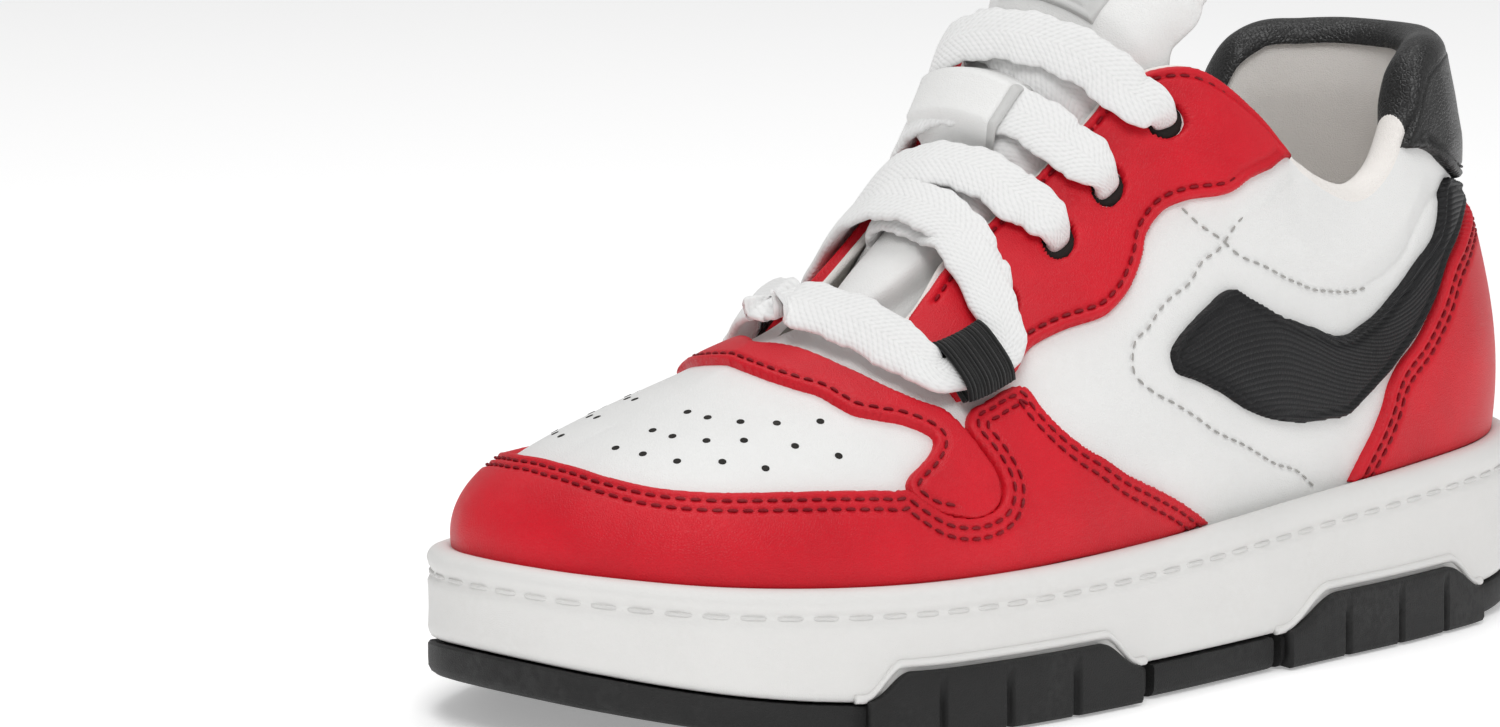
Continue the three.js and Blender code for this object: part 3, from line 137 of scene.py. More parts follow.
def top_point(a):
    """The top line at station a (below 0 on the inner side): its point, and the skin's slope there in radians."""
    s = np.abs(a)
    inner = (a < 0).astype(float)
    row = curve_at(TOP_LINE[:, 0], TOP_LINE[:, 1:], s)
    stand = curve_at(INNER_STAND[:, 0], INNER_STAND[:, 1:], s) * inner[..., None]
    x = row[..., 0] + stand[..., 0]
    half = np.maximum(row[..., 1], 0) + stand[..., 1]
    ridge = 4.2 * np.clip((-x - 30) / 40, 0, 1) ** 1.3
    y = ridge + (2 * inner - 1) * half
    return np.stack([x, y, row[..., 2] + stand[..., 2]], -1), np.radians(row[..., 3])


def skin_point(a, t):
    """The upper's skin. At station a the foot F stands on the cup, T is the top line, and a cubic Bezier rib joins
    them: it leaves F with a slight bulge and comes to T at the top line's slope. t is 0 at F and 1 at T; below 0 it
    goes straight down into the cup, and past 1 it comes down the other side."""
    a, t = np.broadcast_arrays(np.asarray(a, float), np.asarray(t, float))
    a = np.where(a > HEEL, a - AROUND, a)
    over = t > 1
    a = np.where(over, -a, a)
    t = np.where(over, 2 - t, t)
    s = np.abs(a)
    plan, out = sole_edge(a, SKIN_INSET)
    foot = np.concatenate([plan, bead_top(plan[..., :1])], -1)
    top, slope = top_point(a)
    across = foot[..., :2] - top[..., :2]
    level = np.linalg.norm(across, axis=-1)
    turn = np.clip((s - 7) / 1.5, 0, 1)[..., None]
    head = unit(across / level[..., None] * (1 - turn) + out * turn)
    rise = top[..., 2] - foot[..., 2]
    size = np.hypot(level, rise)
    bulge, low_pull = curve_at(*BULGE, s), curve_at(*FOOT_PULL, s)
    pull = curve_at(*TOP_PULL, s) * size
    low = np.concatenate([foot[..., :2] + out * bulge[..., None], (foot[..., 2] + rise * low_pull)[..., None]], -1)
    high = np.concatenate([top[..., :2] + head * (np.cos(slope) * pull)[..., None],
        (top[..., 2] - np.sin(slope) * pull)[..., None]], -1)
    w = np.clip(t, 0, 1)[..., None]
    point = (1 - w) ** 3 * foot + 3 * (1 - w) ** 2 * w * low + 3 * (1 - w) * w**2 * high + w**3 * top
    point[..., 2] += np.minimum(t, 0) * 60
    return point


def normal_of(surface, u, v, step=0.004):
    """Outward normal: the cross product of the surface's two directions, from points a small step either side."""
    along = surface(u + step, v) - surface(u - step, v)
    upward = surface(u, v + step) - surface(u, v - step)
    return unit(np.cross(along, upward))


def skin_normal(a, t):
    """The skin's normal. Near the ridge over the toe both sides lean towards one shared normal."""
    a, t = np.broadcast_arrays(np.asarray(a, float), np.asarray(t, float))
    a = np.where(a > HEEL, a - AROUND, a)
    over = t > 1
    a, t = np.where(over, -a, a), np.where(over, 2 - t, t)
    near = np.clip(t, 0.006, 0.97)
    share = 0.5 * ease(0.86, 1, t) * (1 - ease(RIDGE_END, RIDGE_END + 0.4, np.abs(a)))
    own, other = normal_of(skin_point, a, near), normal_of(skin_point, -a, near)
    return unit(own + (other - own) * share[..., None])


def skin(a, t, height=0.0):
    """A point `height` off the skin along its normal."""
    return skin_point(a, t) + skin_normal(a, t) * np.asarray(height, float)[..., None]


def deck_point(s, v):
    """The lacing deck. Across the throat it is a cubic arch from the outer top line (v = -1) to the inner one (v = 1)
    whose ends carry on the ribs; past them it runs down the ribs, half a rib for each unit of v."""
    s, v = np.broadcast_arrays(np.asarray(s, float), np.asarray(v, float))
    ends, ways = [], []
    for a in (s, -s):
        top = skin_point(a, np.ones_like(s))
        ends.append(top)
        ways.append(unit(top - skin_point(a, np.full_like(s, 0.999))))
    reach = np.linalg.norm(ends[0] - ends[1], axis=-1, keepdims=True) * 0.37
    near, far = ends[0] + ways[0] * reach, ends[1] + ways[1] * reach
    t = ((np.clip(v, -1, 1) + 1) / 2)[..., None]
    arch = (1 - t) ** 3 * ends[0] + 3 * (1 - t) ** 2 * t * near + 3 * (1 - t) * t**2 * far + t**3 * ends[1]
    outer = skin_point(s, 1 - np.maximum(-v - 1, 0) * 0.5)
    inner = skin_point(-s, 1 - np.maximum(v - 1, 0) * 0.5)
    return np.where(v[..., None] < -1, outer, np.where(v[..., None] > 1, inner, arch))


def deck(s, v, height=0.0):
    return deck_point(s, v) + normal_of(deck_point, s, v) * np.asarray(height, float)[..., None]


# ---------------------------------------------------------------- meshes


def piece(name, points, faces, material, body="shoe", stands_for=(), uv=None, smooth=True):
    """One piece from its points (millimetres) and faces (corner numbers), riding on its body."""
    mesh = bpy.data.meshes.new(name)
    flat = (np.asarray(points, float).reshape(-1, 3) + CENTRING) * MM
    mesh.from_pydata(flat.tolist(), [], [f for f in faces])
    mesh.update()
    if uv is not None:
        layer = mesh.uv_layers.new(name="Run")
        corner = np.empty(len(mesh.loops), np.int32)
        mesh.loops.foreach_get("vertex_index", corner)
        layer.data.foreach_set("uv", np.asarray(uv, np.float32).reshape(-1, 2)[corner].ravel())
    mesh.polygons.foreach_set("use_smooth", np.full(len(mesh.polygons), smooth))
    made = bpy.data.objects.new(name, mesh)
    bpy.context.scene.collection.objects.link(made)
    made.data.materials.append(material)
    if body:
        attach(made, body)
    if stands_for:
        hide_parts(*stands_for)
    return made


def grid_faces(rows, columns, close_rows=False, close_columns=False, start=0):
    """Quads over a grid of points numbered row by row; a closed direction joins its last line to its first."""
    i = np.arange(rows if close_rows else rows - 1)[:, None]
    j = np.arange(columns if close_columns else columns - 1)[None, :]
    ni, nj = (i + 1) % rows, (j + 1) % columns
    corners = [i * columns + j, ni * columns + j, ni * columns + nj, i * columns + nj]
    quads = np.stack([np.broadcast_to(c, np.broadcast_shapes(i.shape, j.shape)) for c in corners], -1)
    return (quads.reshape(-1, 4) + start).tolist()


def tube_faces(sections, sides):
    """A closed tube: quads round every section, and a fan of corners as a cap on each end."""
    faces = grid_faces(sections, sides, close_columns=True)
    first = list(range(sides))
    last = [(sections - 1) * sides + k for k in range(sides)]
    return faces + [first, last[::-1]]


SAME_POINT = 1e-6  # m; points closer than this are one point


def weld(made, reach, collapse=False, turn_out=False):
    """Merges a piece's points that lie closer than the reach, in metres. It may also drop the faces left without
    area, and turn all faces outwards."""
    work = bmesh.new()
    work.from_mesh(made.data)
    bmesh.ops.remove_doubles(work, verts=work.verts, dist=reach)
    if collapse:
        bmesh.ops.dissolve_degenerate(work, dist=SAME_POINT, edges=work.edges)
    if turn_out:
        bmesh.ops.recalc_face_normals(work, faces=work.faces)
    work.to_mesh(made.data)
    work.free()
    return made


def outward(made):
    """Turns a closed piece's faces outwards, once its doubled points are one."""
    return weld(made, SAME_POINT, turn_out=True)


def apply_modifiers(made):
    """Bakes a piece's modifiers into its mesh."""
    graph = bpy.context.evaluated_depsgraph_get()
    baked = bpy.data.meshes.new_from_object(made.evaluated_get(graph))
    made.modifiers.clear()
    made.data = baked
    return made


# ---------------------------------------------------------------- materials


def group_of(name, inputs, outputs):
    """A new shader node group with named inputs {name: default} and outputs {name: socket type}."""
    group = bpy.data.node_groups.new(name, "ShaderNodeTree")
    for key, value in inputs.items():
        kind = "NodeSocketVector" if key == "Vector" else "NodeSocketFloat"
        socket = group.interface.new_socket(key, in_out="INPUT", socket_type=kind)
        if key != "Vector":
            socket.default_value = value
    for key, kind in outputs.items():
        group.interface.new_socket(key, in_out="OUTPUT", socket_type=kind)
    return group, group.nodes.new("NodeGroupInput"), group.nodes.new("NodeGroupOutput")


class Wiring:
    """Short calls for adding and joining nodes in one tree."""

    def __init__(self, tree):
        self.tree = tree

    def add(self, kind, values=None, links=None, **settings):
        node = self.tree.nodes.new(kind)
        for key, value in settings.items():
            setattr(node, key, value)
        for key, value in (values or {}).items():
            node.inputs[key].default_value = value
        for key, source in (links or {}).items():
            self.tree.links.new(source, node.inputs[key])
        return node

    def math(self, operation, a, b=0.0, c=0.0):
        node = self.tree.nodes.new("ShaderNodeMath")
        node.operation = operation
        for socket, value in zip(node.inputs, (a, b, c)):
            if isinstance(value, (int, float)):
                socket.default_value = value
            else:
                self.tree.links.new(value, socket)
        return node.outputs[0]

    def scaled(self, value, low, high, to_low=0.0, to_high=1.0):
        node = self.add("ShaderNodeMapRange", {"From Min": low, "From Max": high, "To Min": to_low,
            "To Max": to_high}, {"Value": value})
        return node.outputs[0]


def make_grain():
    """Leather grain: pebbles from cell distance over a slow undulation. Height is the grain, Tone a slow cloud."""
    group, given, made = group_of("grain", {"Vector": None, "Size": 1.0, "Crease": 0.5},
        {"Height": "NodeSocketFloat", "Tone": "NodeSocketFloat"})
    w = Wiring(group)
    big = w.math("DIVIDE", 1500.0, given.outputs["Size"])
    cells = w.add("ShaderNodeTexVoronoi", links={"Vector": given.outputs["Vector"], "Scale": big},
        feature="DISTANCE_TO_EDGE")
    pebble = w.scaled(cells.outputs["Distance"], 0.0, 0.25)
    fine = w.add("ShaderNodeTexNoise", {"Scale": 2600.0, "Detail": 3.0}, {"Vector": given.outputs["Vector"]})
    slow = w.add("ShaderNodeTexNoise", {"Scale": 60.0, "Detail": 4.0, "Roughness": 0.6},
        {"Vector": given.outputs["Vector"]})
    crease = w.math("MULTIPLY", slow.outputs["Fac"], given.outputs["Crease"])
    height = w.math("ADD", w.math("MULTIPLY", pebble, 0.5), w.math("MULTIPLY", fine.outputs["Fac"], 0.3))
    w.tree.links.new(w.math("ADD", height, crease), made.inputs["Height"])
    w.tree.links.new(slow.outputs["Fac"], made.inputs["Tone"])
    return group


def make_dust():
    """Handling marks: faint patches of two sizes multiplied together, 0 clean to 1 marked."""
    group, given, made = group_of("handling", {"Vector": None, "Scale": 40.0}, {"Mark": "NodeSocketFloat"})
    w = Wiring(group)
    patch = w.add("ShaderNodeTexNoise", {"Detail": 5.0, "Roughness": 0.65}, {"Vector": given.outputs["Vector"],
        "Scale": given.outputs["Scale"]})
    speck = w.add("ShaderNodeTexNoise", {"Scale": 900.0, "Detail": 2.0}, {"Vector": given.outputs["Vector"]})
    mark = w.math("MULTIPLY", w.scaled(patch.outputs["Fac"], 0.48, 0.72), w.scaled(speck.outputs["Fac"], 0.4, 0.6))
    w.tree.links.new(mark, made.inputs["Mark"])
    return group


def make_weave():
    """Weave along a run: crossing ribs, one way along it and one way over it. Height is the thread."""
    group, given, made = group_of("weave", {"Vector": None, "Along": 1000.0, "Over": 1000.0, "Slant": 0.0},
        {"Height": "NodeSocketFloat"})
    w = Wiring(group)
    parts = w.add("ShaderNodeSeparateXYZ", links={"Vector": given.outputs["Vector"]})
    slanted = w.math("MULTIPLY", w.math("ABSOLUTE", parts.outputs["Y"]), given.outputs["Slant"])
    along = w.math("MULTIPLY", w.math("ADD", parts.outputs["X"], slanted), given.outputs["Along"])
    over = w.math("MULTIPLY", parts.outputs["Y"], given.outputs["Over"])
    rib = w.math("ABSOLUTE", w.math("SINE", w.math("MULTIPLY", along, math.pi)))
    cross = w.math("ABSOLUTE", w.math("SINE", w.math("MULTIPLY", over, math.pi)))
    w.tree.links.new(w.math("ADD", rib, w.math("MULTIPLY", cross, 0.6)), made.inputs["Height"])
    return group


GRAIN, HANDLING, WEAVE = make_grain(), make_dust(), make_weave()


def new_material(name):
    material = bpy.data.materials.new(name)
    material.use_nodes = True
    tree = material.node_tree
    shader = tree.nodes["Principled BSDF"]
    wiring = Wiring(tree)
    place = wiring.add("ShaderNodeTexCoord")
    return material, shader, wiring, place


def tint(color, factor):
    return tuple(min(c * factor, 1.0) for c in color[:3]) + (1.0,)


def grained(name, color, dark, roughness, depth, size=1.0, crease=0.5, coat=0.0, marks=0.25, mark_color=None,
        shine=0.5):
    """Leather and rubber: the grain in the bump, a slow change of tone and roughness, and faint handling marks."""
    material, shader, w, place = new_material(name)
    where = place.outputs["Object"]
    grain = w.add("ShaderNodeGroup", node_tree=GRAIN, links={"Vector": where})
    grain.inputs["Size"].default_value, grain.inputs["Crease"].default_value = size, crease
    marks_node = w.add("ShaderNodeGroup", node_tree=HANDLING, links={"Vector": where})
    tone = w.scaled(grain.outputs["Tone"], 0.35, 0.65)
    base = w.add("ShaderNodeMix", data_type="RGBA", links={"Factor": tone})
    base.inputs["A"].default_value, base.inputs["B"].default_value = tint(color, dark), tint(color, 1.0)
    worn = w.add("ShaderNodeMix", data_type="RGBA", links={"A": base.outputs["Result"],
        "Factor": w.math("MULTIPLY", marks_node.outputs["Mark"], marks)})
    worn.inputs["B"].default_value = tint(mark_color or (0.45, 0.42, 0.38), 1.0)
    w.tree.links.new(worn.outputs["Result"], shader.inputs["Base Color"])
    rough = w.math("ADD", w.math("MULTIPLY", grain.outputs["Height"], 0.12), roughness - 0.08)
    w.tree.links.new(rough, shader.inputs["Roughness"])
    bump = w.add("ShaderNodeBump", {"Strength": 1.0, "Distance": depth}, {"Height": grain.outputs["Height"]})
    w.tree.links.new(bump.outputs["Normal"], shader.inputs["Normal"])
    shader.inputs["Specular IOR Level"].default_value = shine
    shader.inputs["Coat Weight"].default_value = coat
    shader.inputs["Coat Roughness"].default_value = 0.3
    return material


def woven(name, color, dark, along, over, depth, roughness=0.85, slant=0.0, sheen=0.2, coordinates="UV", shine=0.3):
    """Cloth, webbing and lace: crossing threads follow the piece's own run, and the colour darkens in the hollows
    between them as painted shade.
    """
    material, shader, w, place = new_material(name)
    weave = w.add("ShaderNodeGroup", node_tree=WEAVE, links={"Vector": place.outputs[coordinates]})
    for key, value in (("Along", along), ("Over", over), ("Slant", slant)):
        weave.inputs[key].default_value = value
    marks = w.add("ShaderNodeGroup", node_tree=HANDLING, links={"Vector": place.outputs["Object"]})
    # Painted shade: the colour is darker where the weave's height is low, in the hollows between threads.
    shade = w.add("ShaderNodeMix", data_type="RGBA", links={"Factor": w.scaled(weave.outputs["Height"], 0.1, 1.1)})
    shade.inputs["A"].default_value, shade.inputs["B"].default_value = tint(color, dark), tint(color, 1.0)
    soiled = w.add("ShaderNodeMix", data_type="RGBA", links={"A": shade.outputs["Result"],
        "Factor": w.math("MULTIPLY", marks.outputs["Mark"], 0.2)})
    soiled.inputs["B"].default_value = tint(color, 0.75)
    w.tree.links.new(soiled.outputs["Result"], shader.inputs["Base Color"])
    rough = w.scaled(marks.outputs["Mark"], 0.0, 1.0, roughness, min(roughness + 0.1, 1.0))
    w.tree.links.new(rough, shader.inputs["Roughness"])
    fuzz = w.add("ShaderNodeTexNoise", {"Scale": 3000.0, "Detail": 2.0}, {"Vector": place.outputs["Object"]})
    height = w.math("ADD", weave.outputs["Height"], w.math("MULTIPLY", fuzz.outputs["Fac"], 0.5))
    bump = w.add("ShaderNodeBump", {"Strength": 1.0, "Distance": depth}, {"Height": height})
    w.tree.links.new(bump.outputs["Normal"], shader.inputs["Normal"])
    shader.inputs["Sheen Weight"].default_value = sheen
    shader.inputs["Specular IOR Level"].default_value = shine
    return material


RED = (0.66, 0.007, 0.020)
red_leather = grained("red_leather", RED, 0.86, 0.42, 0.00006, 0.55, 0.6, 0.0, 0.06, (0.75, 0.10, 0.11), 0.28)
white_leather = grained("white_leather", (0.83, 0.83, 0.82), 0.97, 0.46, 0.00005, 0.6, 0.5, 0.0, 0.1,
    (0.66, 0.64, 0.60), 0.4)
black_leather = grained("black_leather", (0.010, 0.010, 0.010), 0.7, 0.34, 0.00012, 0.9, 0.6, 0.1, 0.25,
    (0.06, 0.06, 0.06), 0.4)
black_rubber = grained("black_rubber", (0.018, 0.018, 0.018), 0.75, 0.62, 0.00006, 0.5, 0.3, 0.0, 0.35,
    (0.07, 0.07, 0.07), 0.3)
white_rubber = grained("white_rubber", (0.77, 0.765, 0.75), 0.97, 0.55, 0.00003, 0.4, 0.25, 0.0, 0.1, (0.6, 0.58, 0.54))
lining_cloth = grained("lining_cloth", (0.90, 0.865, 0.83), 0.95, 0.8, 0.00008, 0.5, 0.5, 0.0, 0.1, shine=0.2)
lace_cotton = woven("lace_cotton", (0.84, 0.84, 0.835), 0.94, 1000.0, 1400.0, 0.00007, slant=1.0)
webbing = woven("webbing", (0.010, 0.010, 0.010), 0.5, 1500.0, 180.0, 0.0002, 0.7, sheen=0.1, shine=0.2)
ribbed_black = woven("ribbed_black", (0.008, 0.008, 0.009), 0.45, 40.0, 1250.0, 0.00022, 0.5, sheen=0.0, shine=0.3)
red_thread = grained("red_thread", (0.27, 0.004, 0.012), 0.7, 0.6, 0.00005, 0.3, 0.2, 0.0, 0.1, shine=0.2)
white_thread = grained("white_thread", (0.76, 0.755, 0.74), 0.9, 0.7, 0.00005, 0.3, 0.2, 0.0, 0.1)
grey_thread = grained("grey_thread", (0.46, 0.45, 0.43), 0.8, 0.7, 0.00005, 0.3, 0.2, 0.0, 0.1)
black_thread = grained("black_thread", (0.03, 0.03, 0.03), 0.8, 0.6, 0.00005, 0.3, 0.2, 0.0, 0.1)
# Grey: the label's colour, and painted shade on the keeper strap's shaded edge.
grey_label_and_edge_shade = grained("grey_label_and_edge_shade", (0.60, 0.60, 0.59), 0.92, 0.5, 0.00004, 0.4, 0.3, 0.0, 0.1)
# Painted shade: a dark colour standing for the shade inside small holes.
painted_hole_shade = grained("painted_hole_shade", (0.035, 0.033, 0.031), 0.8, 0.9, 0.00003, 0.4, 0.3, 0.0, 0.1, shine=0.1)

# ---------------------------------------------------------------- seams, padding and where they lie
COLLAR_SEAM = [(6.70, .71), (6.75, .66), (6.83, .61), (6.91, .56), (7.03, .54), (7.19, .54), (7.38, .56),
    (7.60, .60), (7.85, .63), (8.06, .65), (8.38, .65), (8.49, .66), (8.8, .665), (9.6, .665), (11, .665)]
QUARTER_SEAM = [(7.60, .99), (7.39, .85), (7.15, .71), (6.95, .64), (6.81, .59), (6.70, .58), (6.60, .56),
    (6.48, .56), (6.38, .55), (6.28, .53), (6.18, .52), (6.12, .48), (6.11, .44), (6.19, .38), (6.30, .33),
    (6.43, .27), (6.56, .21), (6.75, .15), (6.96, .09), (7.14, .06), (7.28, .01)]
RIM_DEPTH = 5.0  # thickness of the padded collar edge


def fold(a):
    """Station on either side as 0 at the toe to HEEL at the heel."""
    a = np.abs(np.asarray(a, float))
    return np.where(a > HEEL, AROUND - a, a)


def collar_puff(a, t):
    """How far the padded collar stands out: up to 1.1 mm, rising within an eighth of a rib above its seam and falling
    towards the top line."""
    s = fold(a)
    seam = np.interp(s, [p[0] for p in COLLAR_SEAM], [p[1] for p in COLLAR_SEAM])
    return 1.1 * ease(0.0, 0.12, t - seam) * ease(6.75, 7.3, s) * (1 - 0.5 * ease(0.85, 1.0, t))


def dense(line, gap=0.25):
    """Points along a smooth line through the given (station, height) points, about `gap` millimetres apart."""
    line = np.asarray(line, float)
    steps = np.linalg.norm(np.diff(skin_point(line[:, 0], line[:, 1]), axis=0), axis=-1)
    knots = np.concatenate([[0], np.cumsum(np.maximum(steps, 0.05) ** 0.8)])
    way = curve_at(knots, line, np.linspace(0, knots[-1], 40 * len(line)))
    length = np.concatenate([[0], np.cumsum(np.linalg.norm(np.diff(skin_point(way[:, 0], way[:, 1]), axis=0),
        axis=-1))])
    steps = np.linspace(0, length[-1], max(int(length[-1] / gap), 4))
    return np.stack([np.interp(steps, length, way[:, k]) for k in (0, 1)], -1)


def shifted(line, distance):
    """The line moved sideways over the skin by a distance: to its left, seen from outside. The step is turned from
    millimetres into station and height by the skin's own two directions, solved as least squares."""
    a, t = line[:, 0].copy(), line[:, 1].copy()
    here = skin_point(a, t)
    along = unit(np.gradient(here, axis=0))
    side = np.cross(skin_normal(a, t), along)
    target = here + side * distance
    for _ in range(3):
        du = (skin_point(a + 0.002, t) - skin_point(a - 0.002, t)) / 0.004
        dv = (skin_point(a, t + 0.002) - skin_point(a, t - 0.002)) / 0.004
        miss = target - skin_point(a, t)
        uu, vv, uv = (du * du).sum(-1), (dv * dv).sum(-1), (du * dv).sum(-1)
        mu, mv = (miss * du).sum(-1), (miss * dv).sum(-1)
        det = np.maximum(uu * vv - uv * uv, 1e-9)
        a += np.clip((mu * vv - mv * uv) / det, -0.1, 0.1)
        t += np.clip((mv * uu - mu * uv) / det, -0.05, 0.05)
        if line[:, 1].max() < 1:
            t = own_side(a, t)
    return np.stack([a, t], -1)


def own_side(a, t):
    """Behind the ridge the two sides are apart, so a height there stays just under the top line."""
    return np.where(fold(a) > 4.6, np.minimum(t, 0.995), t)


def distance_to(points, line_points, chunk=3000):
    """Shortest distance from each point to a dense line of points, and which one is nearest."""
    best = np.empty(len(points))
    which = np.empty(len(points), int)
    size = (line_points**2).sum(-1)
    for k in range(0, len(points), chunk):
        part = points[k:k + chunk]
        square = (part**2).sum(-1)[:, None] + size[None] - 2 * part @ line_points.T
        which[k:k + chunk] = square.argmin(-1)
        best[k:k + chunk] = np.sqrt(np.maximum(square.min(-1), 0))
    return best, which


def inside(points, outlines):
    """Even-odd test of (station, height) points against closed outlines."""
    x, y = points[:, 0], points[:, 1]
    odd = np.zeros(len(points), bool)
    for outline in outlines:
        for (x0, y0), (x1, y1) in zip(outline, np.roll(outline, -1, axis=0)):
            if y0 == y1:
                continue
            crosses = (y0 > y) != (y1 > y)
            odd ^= crosses & (x < (x1 - x0) * (y - y0) / (y1 - y0) + x0)
    return odd


def base_height(a, t):
    return collar_puff(a, t)


def inlay(name, outlines, material, seams=(), thickness=1.3, cell=0.5, round_over=0.7, rise=0.35, base=base_height,
        stands_for=(), run=None):
    """A panel sewn on the skin. A fine grid in station and height keeps the cells inside the outlines; grid points just
    outside are drawn in to the nearest outline point. The height is `rise` more than a quarter circle that climbs
    from the edge to the thickness, less a small groove along each seam line."""
    outlines = [np.asarray(o, float) for o in outlines]
    every = np.concatenate(outlines)
    solid_outline = skin_point(every[:, 0], every[:, 1])
    lo, hi = every.min(0), every.max(0)
    rate = lambda da, dt: np.linalg.norm(skin_point(every[:, 0] + da, every[:, 1] + dt)
        - skin_point(every[:, 0] - da, every[:, 1] - dt), axis=-1) / (2 * (da + dt))
    per_a, per_t = np.quantile(rate(0.02, 0), 0.9), np.quantile(rate(0, 0.01), 0.9)
    na, nt = int((hi[0] - lo[0]) * per_a / cell) + 4, int((hi[1] - lo[1]) * per_t / cell) + 4
    A, T = np.meshgrid(np.linspace(lo[0] - 2 * cell / per_a, hi[0] + 2 * cell / per_a, na),
        np.linspace(lo[1] - 2 * cell / per_t, hi[1] + 2 * cell / per_t, nt), indexing="ij")
    flat = np.stack([A.ravel(), T.ravel()], -1)
    within = inside(flat, outlines).reshape(na, nt)
    kept = within[:-1, :-1] | within[1:, :-1] | within[1:, 1:] | within[:-1, 1:]
    corner = np.zeros((na, nt), bool)
    for di in (0, 1):
        for dj in (0, 1):
            corner[di:na - 1 + di, dj:nt - 1 + dj] |= kept
    if hi[1] < 1:
        flat[:, 1] = own_side(flat[:, 0], flat[:, 1])
    outer = (corner & ~within).ravel()
    used = corner.ravel()
    place = np.zeros((len(flat), 3))
    place[used] = skin_point(flat[used, 0], flat[used, 1])
    gap = np.zeros(len(flat))
    gap[used], nearest = distance_to(place[used], solid_outline)
    index = np.flatnonzero(used)
    snap = outer[index]
    flat[index[snap]] = every[nearest[snap]]
    gap[index[snap]] = 0
    height = rise + (thickness - rise) * np.sqrt(np.maximum(1 - (1 - np.minimum(gap / round_over, 1)) ** 2, 0))
    height[outer] = -0.25
    place[used] = skin_point(flat[used, 0], flat[used, 1])
    for seam in seams:
        near, _ = distance_to(place[used], skin_point(seam[:, 0], seam[:, 1]))
        height[used] -= 0.42 * np.exp(-((near / 0.42) ** 2)) * (height[used] > 0)
    height[used] += base(flat[used, 0], flat[used, 1])
    number = np.full(len(flat), -1)
    number[index] = np.arange(len(index))
    ii, jj = np.nonzero(kept)
    faces = np.stack([number[ii * nt + jj], number[(ii + 1) * nt + jj], number[(ii + 1) * nt + jj + 1],
        number[ii * nt + jj + 1]], -1)
    points = skin(flat[used, 0], flat[used, 1], height[used])
    uv = None if run is None else run(flat[used], points)
    made = piece(name, points, faces.tolist(), material, stands_for=stands_for, uv=uv)
    return weld(made, 2e-6, collapse=True)


def laid_along(shape, rings, sides, middle, way, side, up):
    """A copy of the shape at every middle, turned to that place's way, side and up: its points and faces."""
    points = (middle[:, None] + way[:, None] * shape[None, :, :1] + side[:, None] * shape[None, :, 1:2]
        + up[:, None] * shape[None, :, 2:])
    one = np.array(grid_faces(rings, sides, close_columns=True))
    faces = (one[None] + (np.arange(len(middle)) * len(shape))[:, None, None]).reshape(-1, 4)
    return points.reshape(-1, 3), faces[:, ::-1].tolist()


def stitches(name, lines, material, length=1.55, pitch=2.05, radius=0.21, body="shoe"):
    """Sewn thread: one small capsule for each stitch. Its middle line is a shallow arch whose ends dive into the
    surface, and round it the section is a circle that shrinks to nothing at both ends."""
    along = np.linspace(-1, 1, 7)
    turn = np.linspace(0, 2 * np.pi, 6, endpoint=False)
    girth = np.sqrt(np.maximum(1 - along**4, 0.0)) * radius
    stitch = np.stack(np.broadcast_arrays(along[:, None] * length / 2, girth[:, None] * np.cos(turn)[None],
        girth[:, None] * np.sin(turn)[None] - 0.35 * radius * along[:, None] ** 2 * 2), -1)
    points, ways, ups = [], [], []
    for line, height in lines:
        place = skin(line[:, 0], line[:, 1], np.broadcast_to(height, len(line)))
        length_at = np.concatenate([[0], np.cumsum(np.linalg.norm(np.diff(place, axis=0), axis=-1))])
        count = max(int(length_at[-1] / pitch), 1)
        at = (np.arange(count) + 0.5) * length_at[-1] / count
        middle = np.stack([np.interp(at, length_at, place[:, k]) for k in range(3)], -1)
        ahead = np.stack([np.interp(at + 0.4, length_at, place[:, k]) for k in range(3)], -1)
        behind = np.stack([np.interp(at - 0.4, length_at, place[:, k]) for k in range(3)], -1)
        normal = skin_normal(line[:, 0], line[:, 1])
        up = unit(np.stack([np.interp(at, length_at, normal[:, k]) for k in range(3)], -1))
        points.append(middle)
        ways.append(unit(ahead - behind))
        ups.append(up)
    middle, way, up = np.concatenate(points), np.concatenate(ways), np.concatenate(ups)
    side = unit(np.cross(up, way))
    up = np.cross(way, side)
    points, faces = laid_along(stitch.reshape(-1, 3), len(along), len(turn), middle, way, side, up)
    return piece(name, points, faces, material, body=body)


# ---------------------------------------------------------------- panel outlines, as in the cut pattern
LOW = 0.0
MUDGUARD = [(0, .60), (.75, .585), (1.5, .545), (2, .49), (2.5, .425), (3, .385), (3.5, .362), (3.95, .34),
    (4.27, .312), (4.42, .245), (4.55, .198), (4.72, .178), (4.88, .186), (4.99, .22), (5.035, .29), (5.01, .4),
    (4.965, .5), (5.08, .565), (5.31, .582), (5.41, .56), (5.45, .48), (5.52, .4), (5.61, .335), (5.73, .275),
    (5.86, .21), (6.03, .15), (6.23, .085), (6.46, .0)]
BAND_TOP = [(4.62, .205), (4.75, .19), (4.88, .205), (4.965, .25), (4.985, .33), (4.95, .41), (4.915, .49),
    (4.89, .535), (4.85, .58), (4.75, .615), (4.64, .67), (4.57, .73), (4.5, .8), (4.44, .89), (4.38, .95), (4.32, 1)]
BAND_TOE = [(4.62, .205), (4.47, .232), (4.36, .29), (4.38, .345), (4.56, .4), (4.67, .45), (4.7, .485),
    (4.6, .53), (4.45, .56), (4.31, .6), (4.25, .65), (4.2, .71), (4.1, .77), (3.98, .87), (3.92, 1)]
EYESTAY_LOW = [(4.965, .605), (5.12, .605), (5.3, .615), (5.42, .62), (5.5, .645), (5.6, .66), (5.8, .65),
    (6.05, .62), (6.2, .628), (6.3, .648), (6.4, .68), (6.48, .715), (6.6, .728), (6.75, .712), (6.92, .7),
    (7.04, .735), (7.22, .815), (7.36, .9), (7.47, .965)]
EYESTAY_TOP = [(4.91, .87), (5.05, .92), (5.25, .96), (5.45, .985), (5.6, .993), (6, .995), (6.5, .995), (7, .995),
    (7.3, .995), (7.52, .985)]
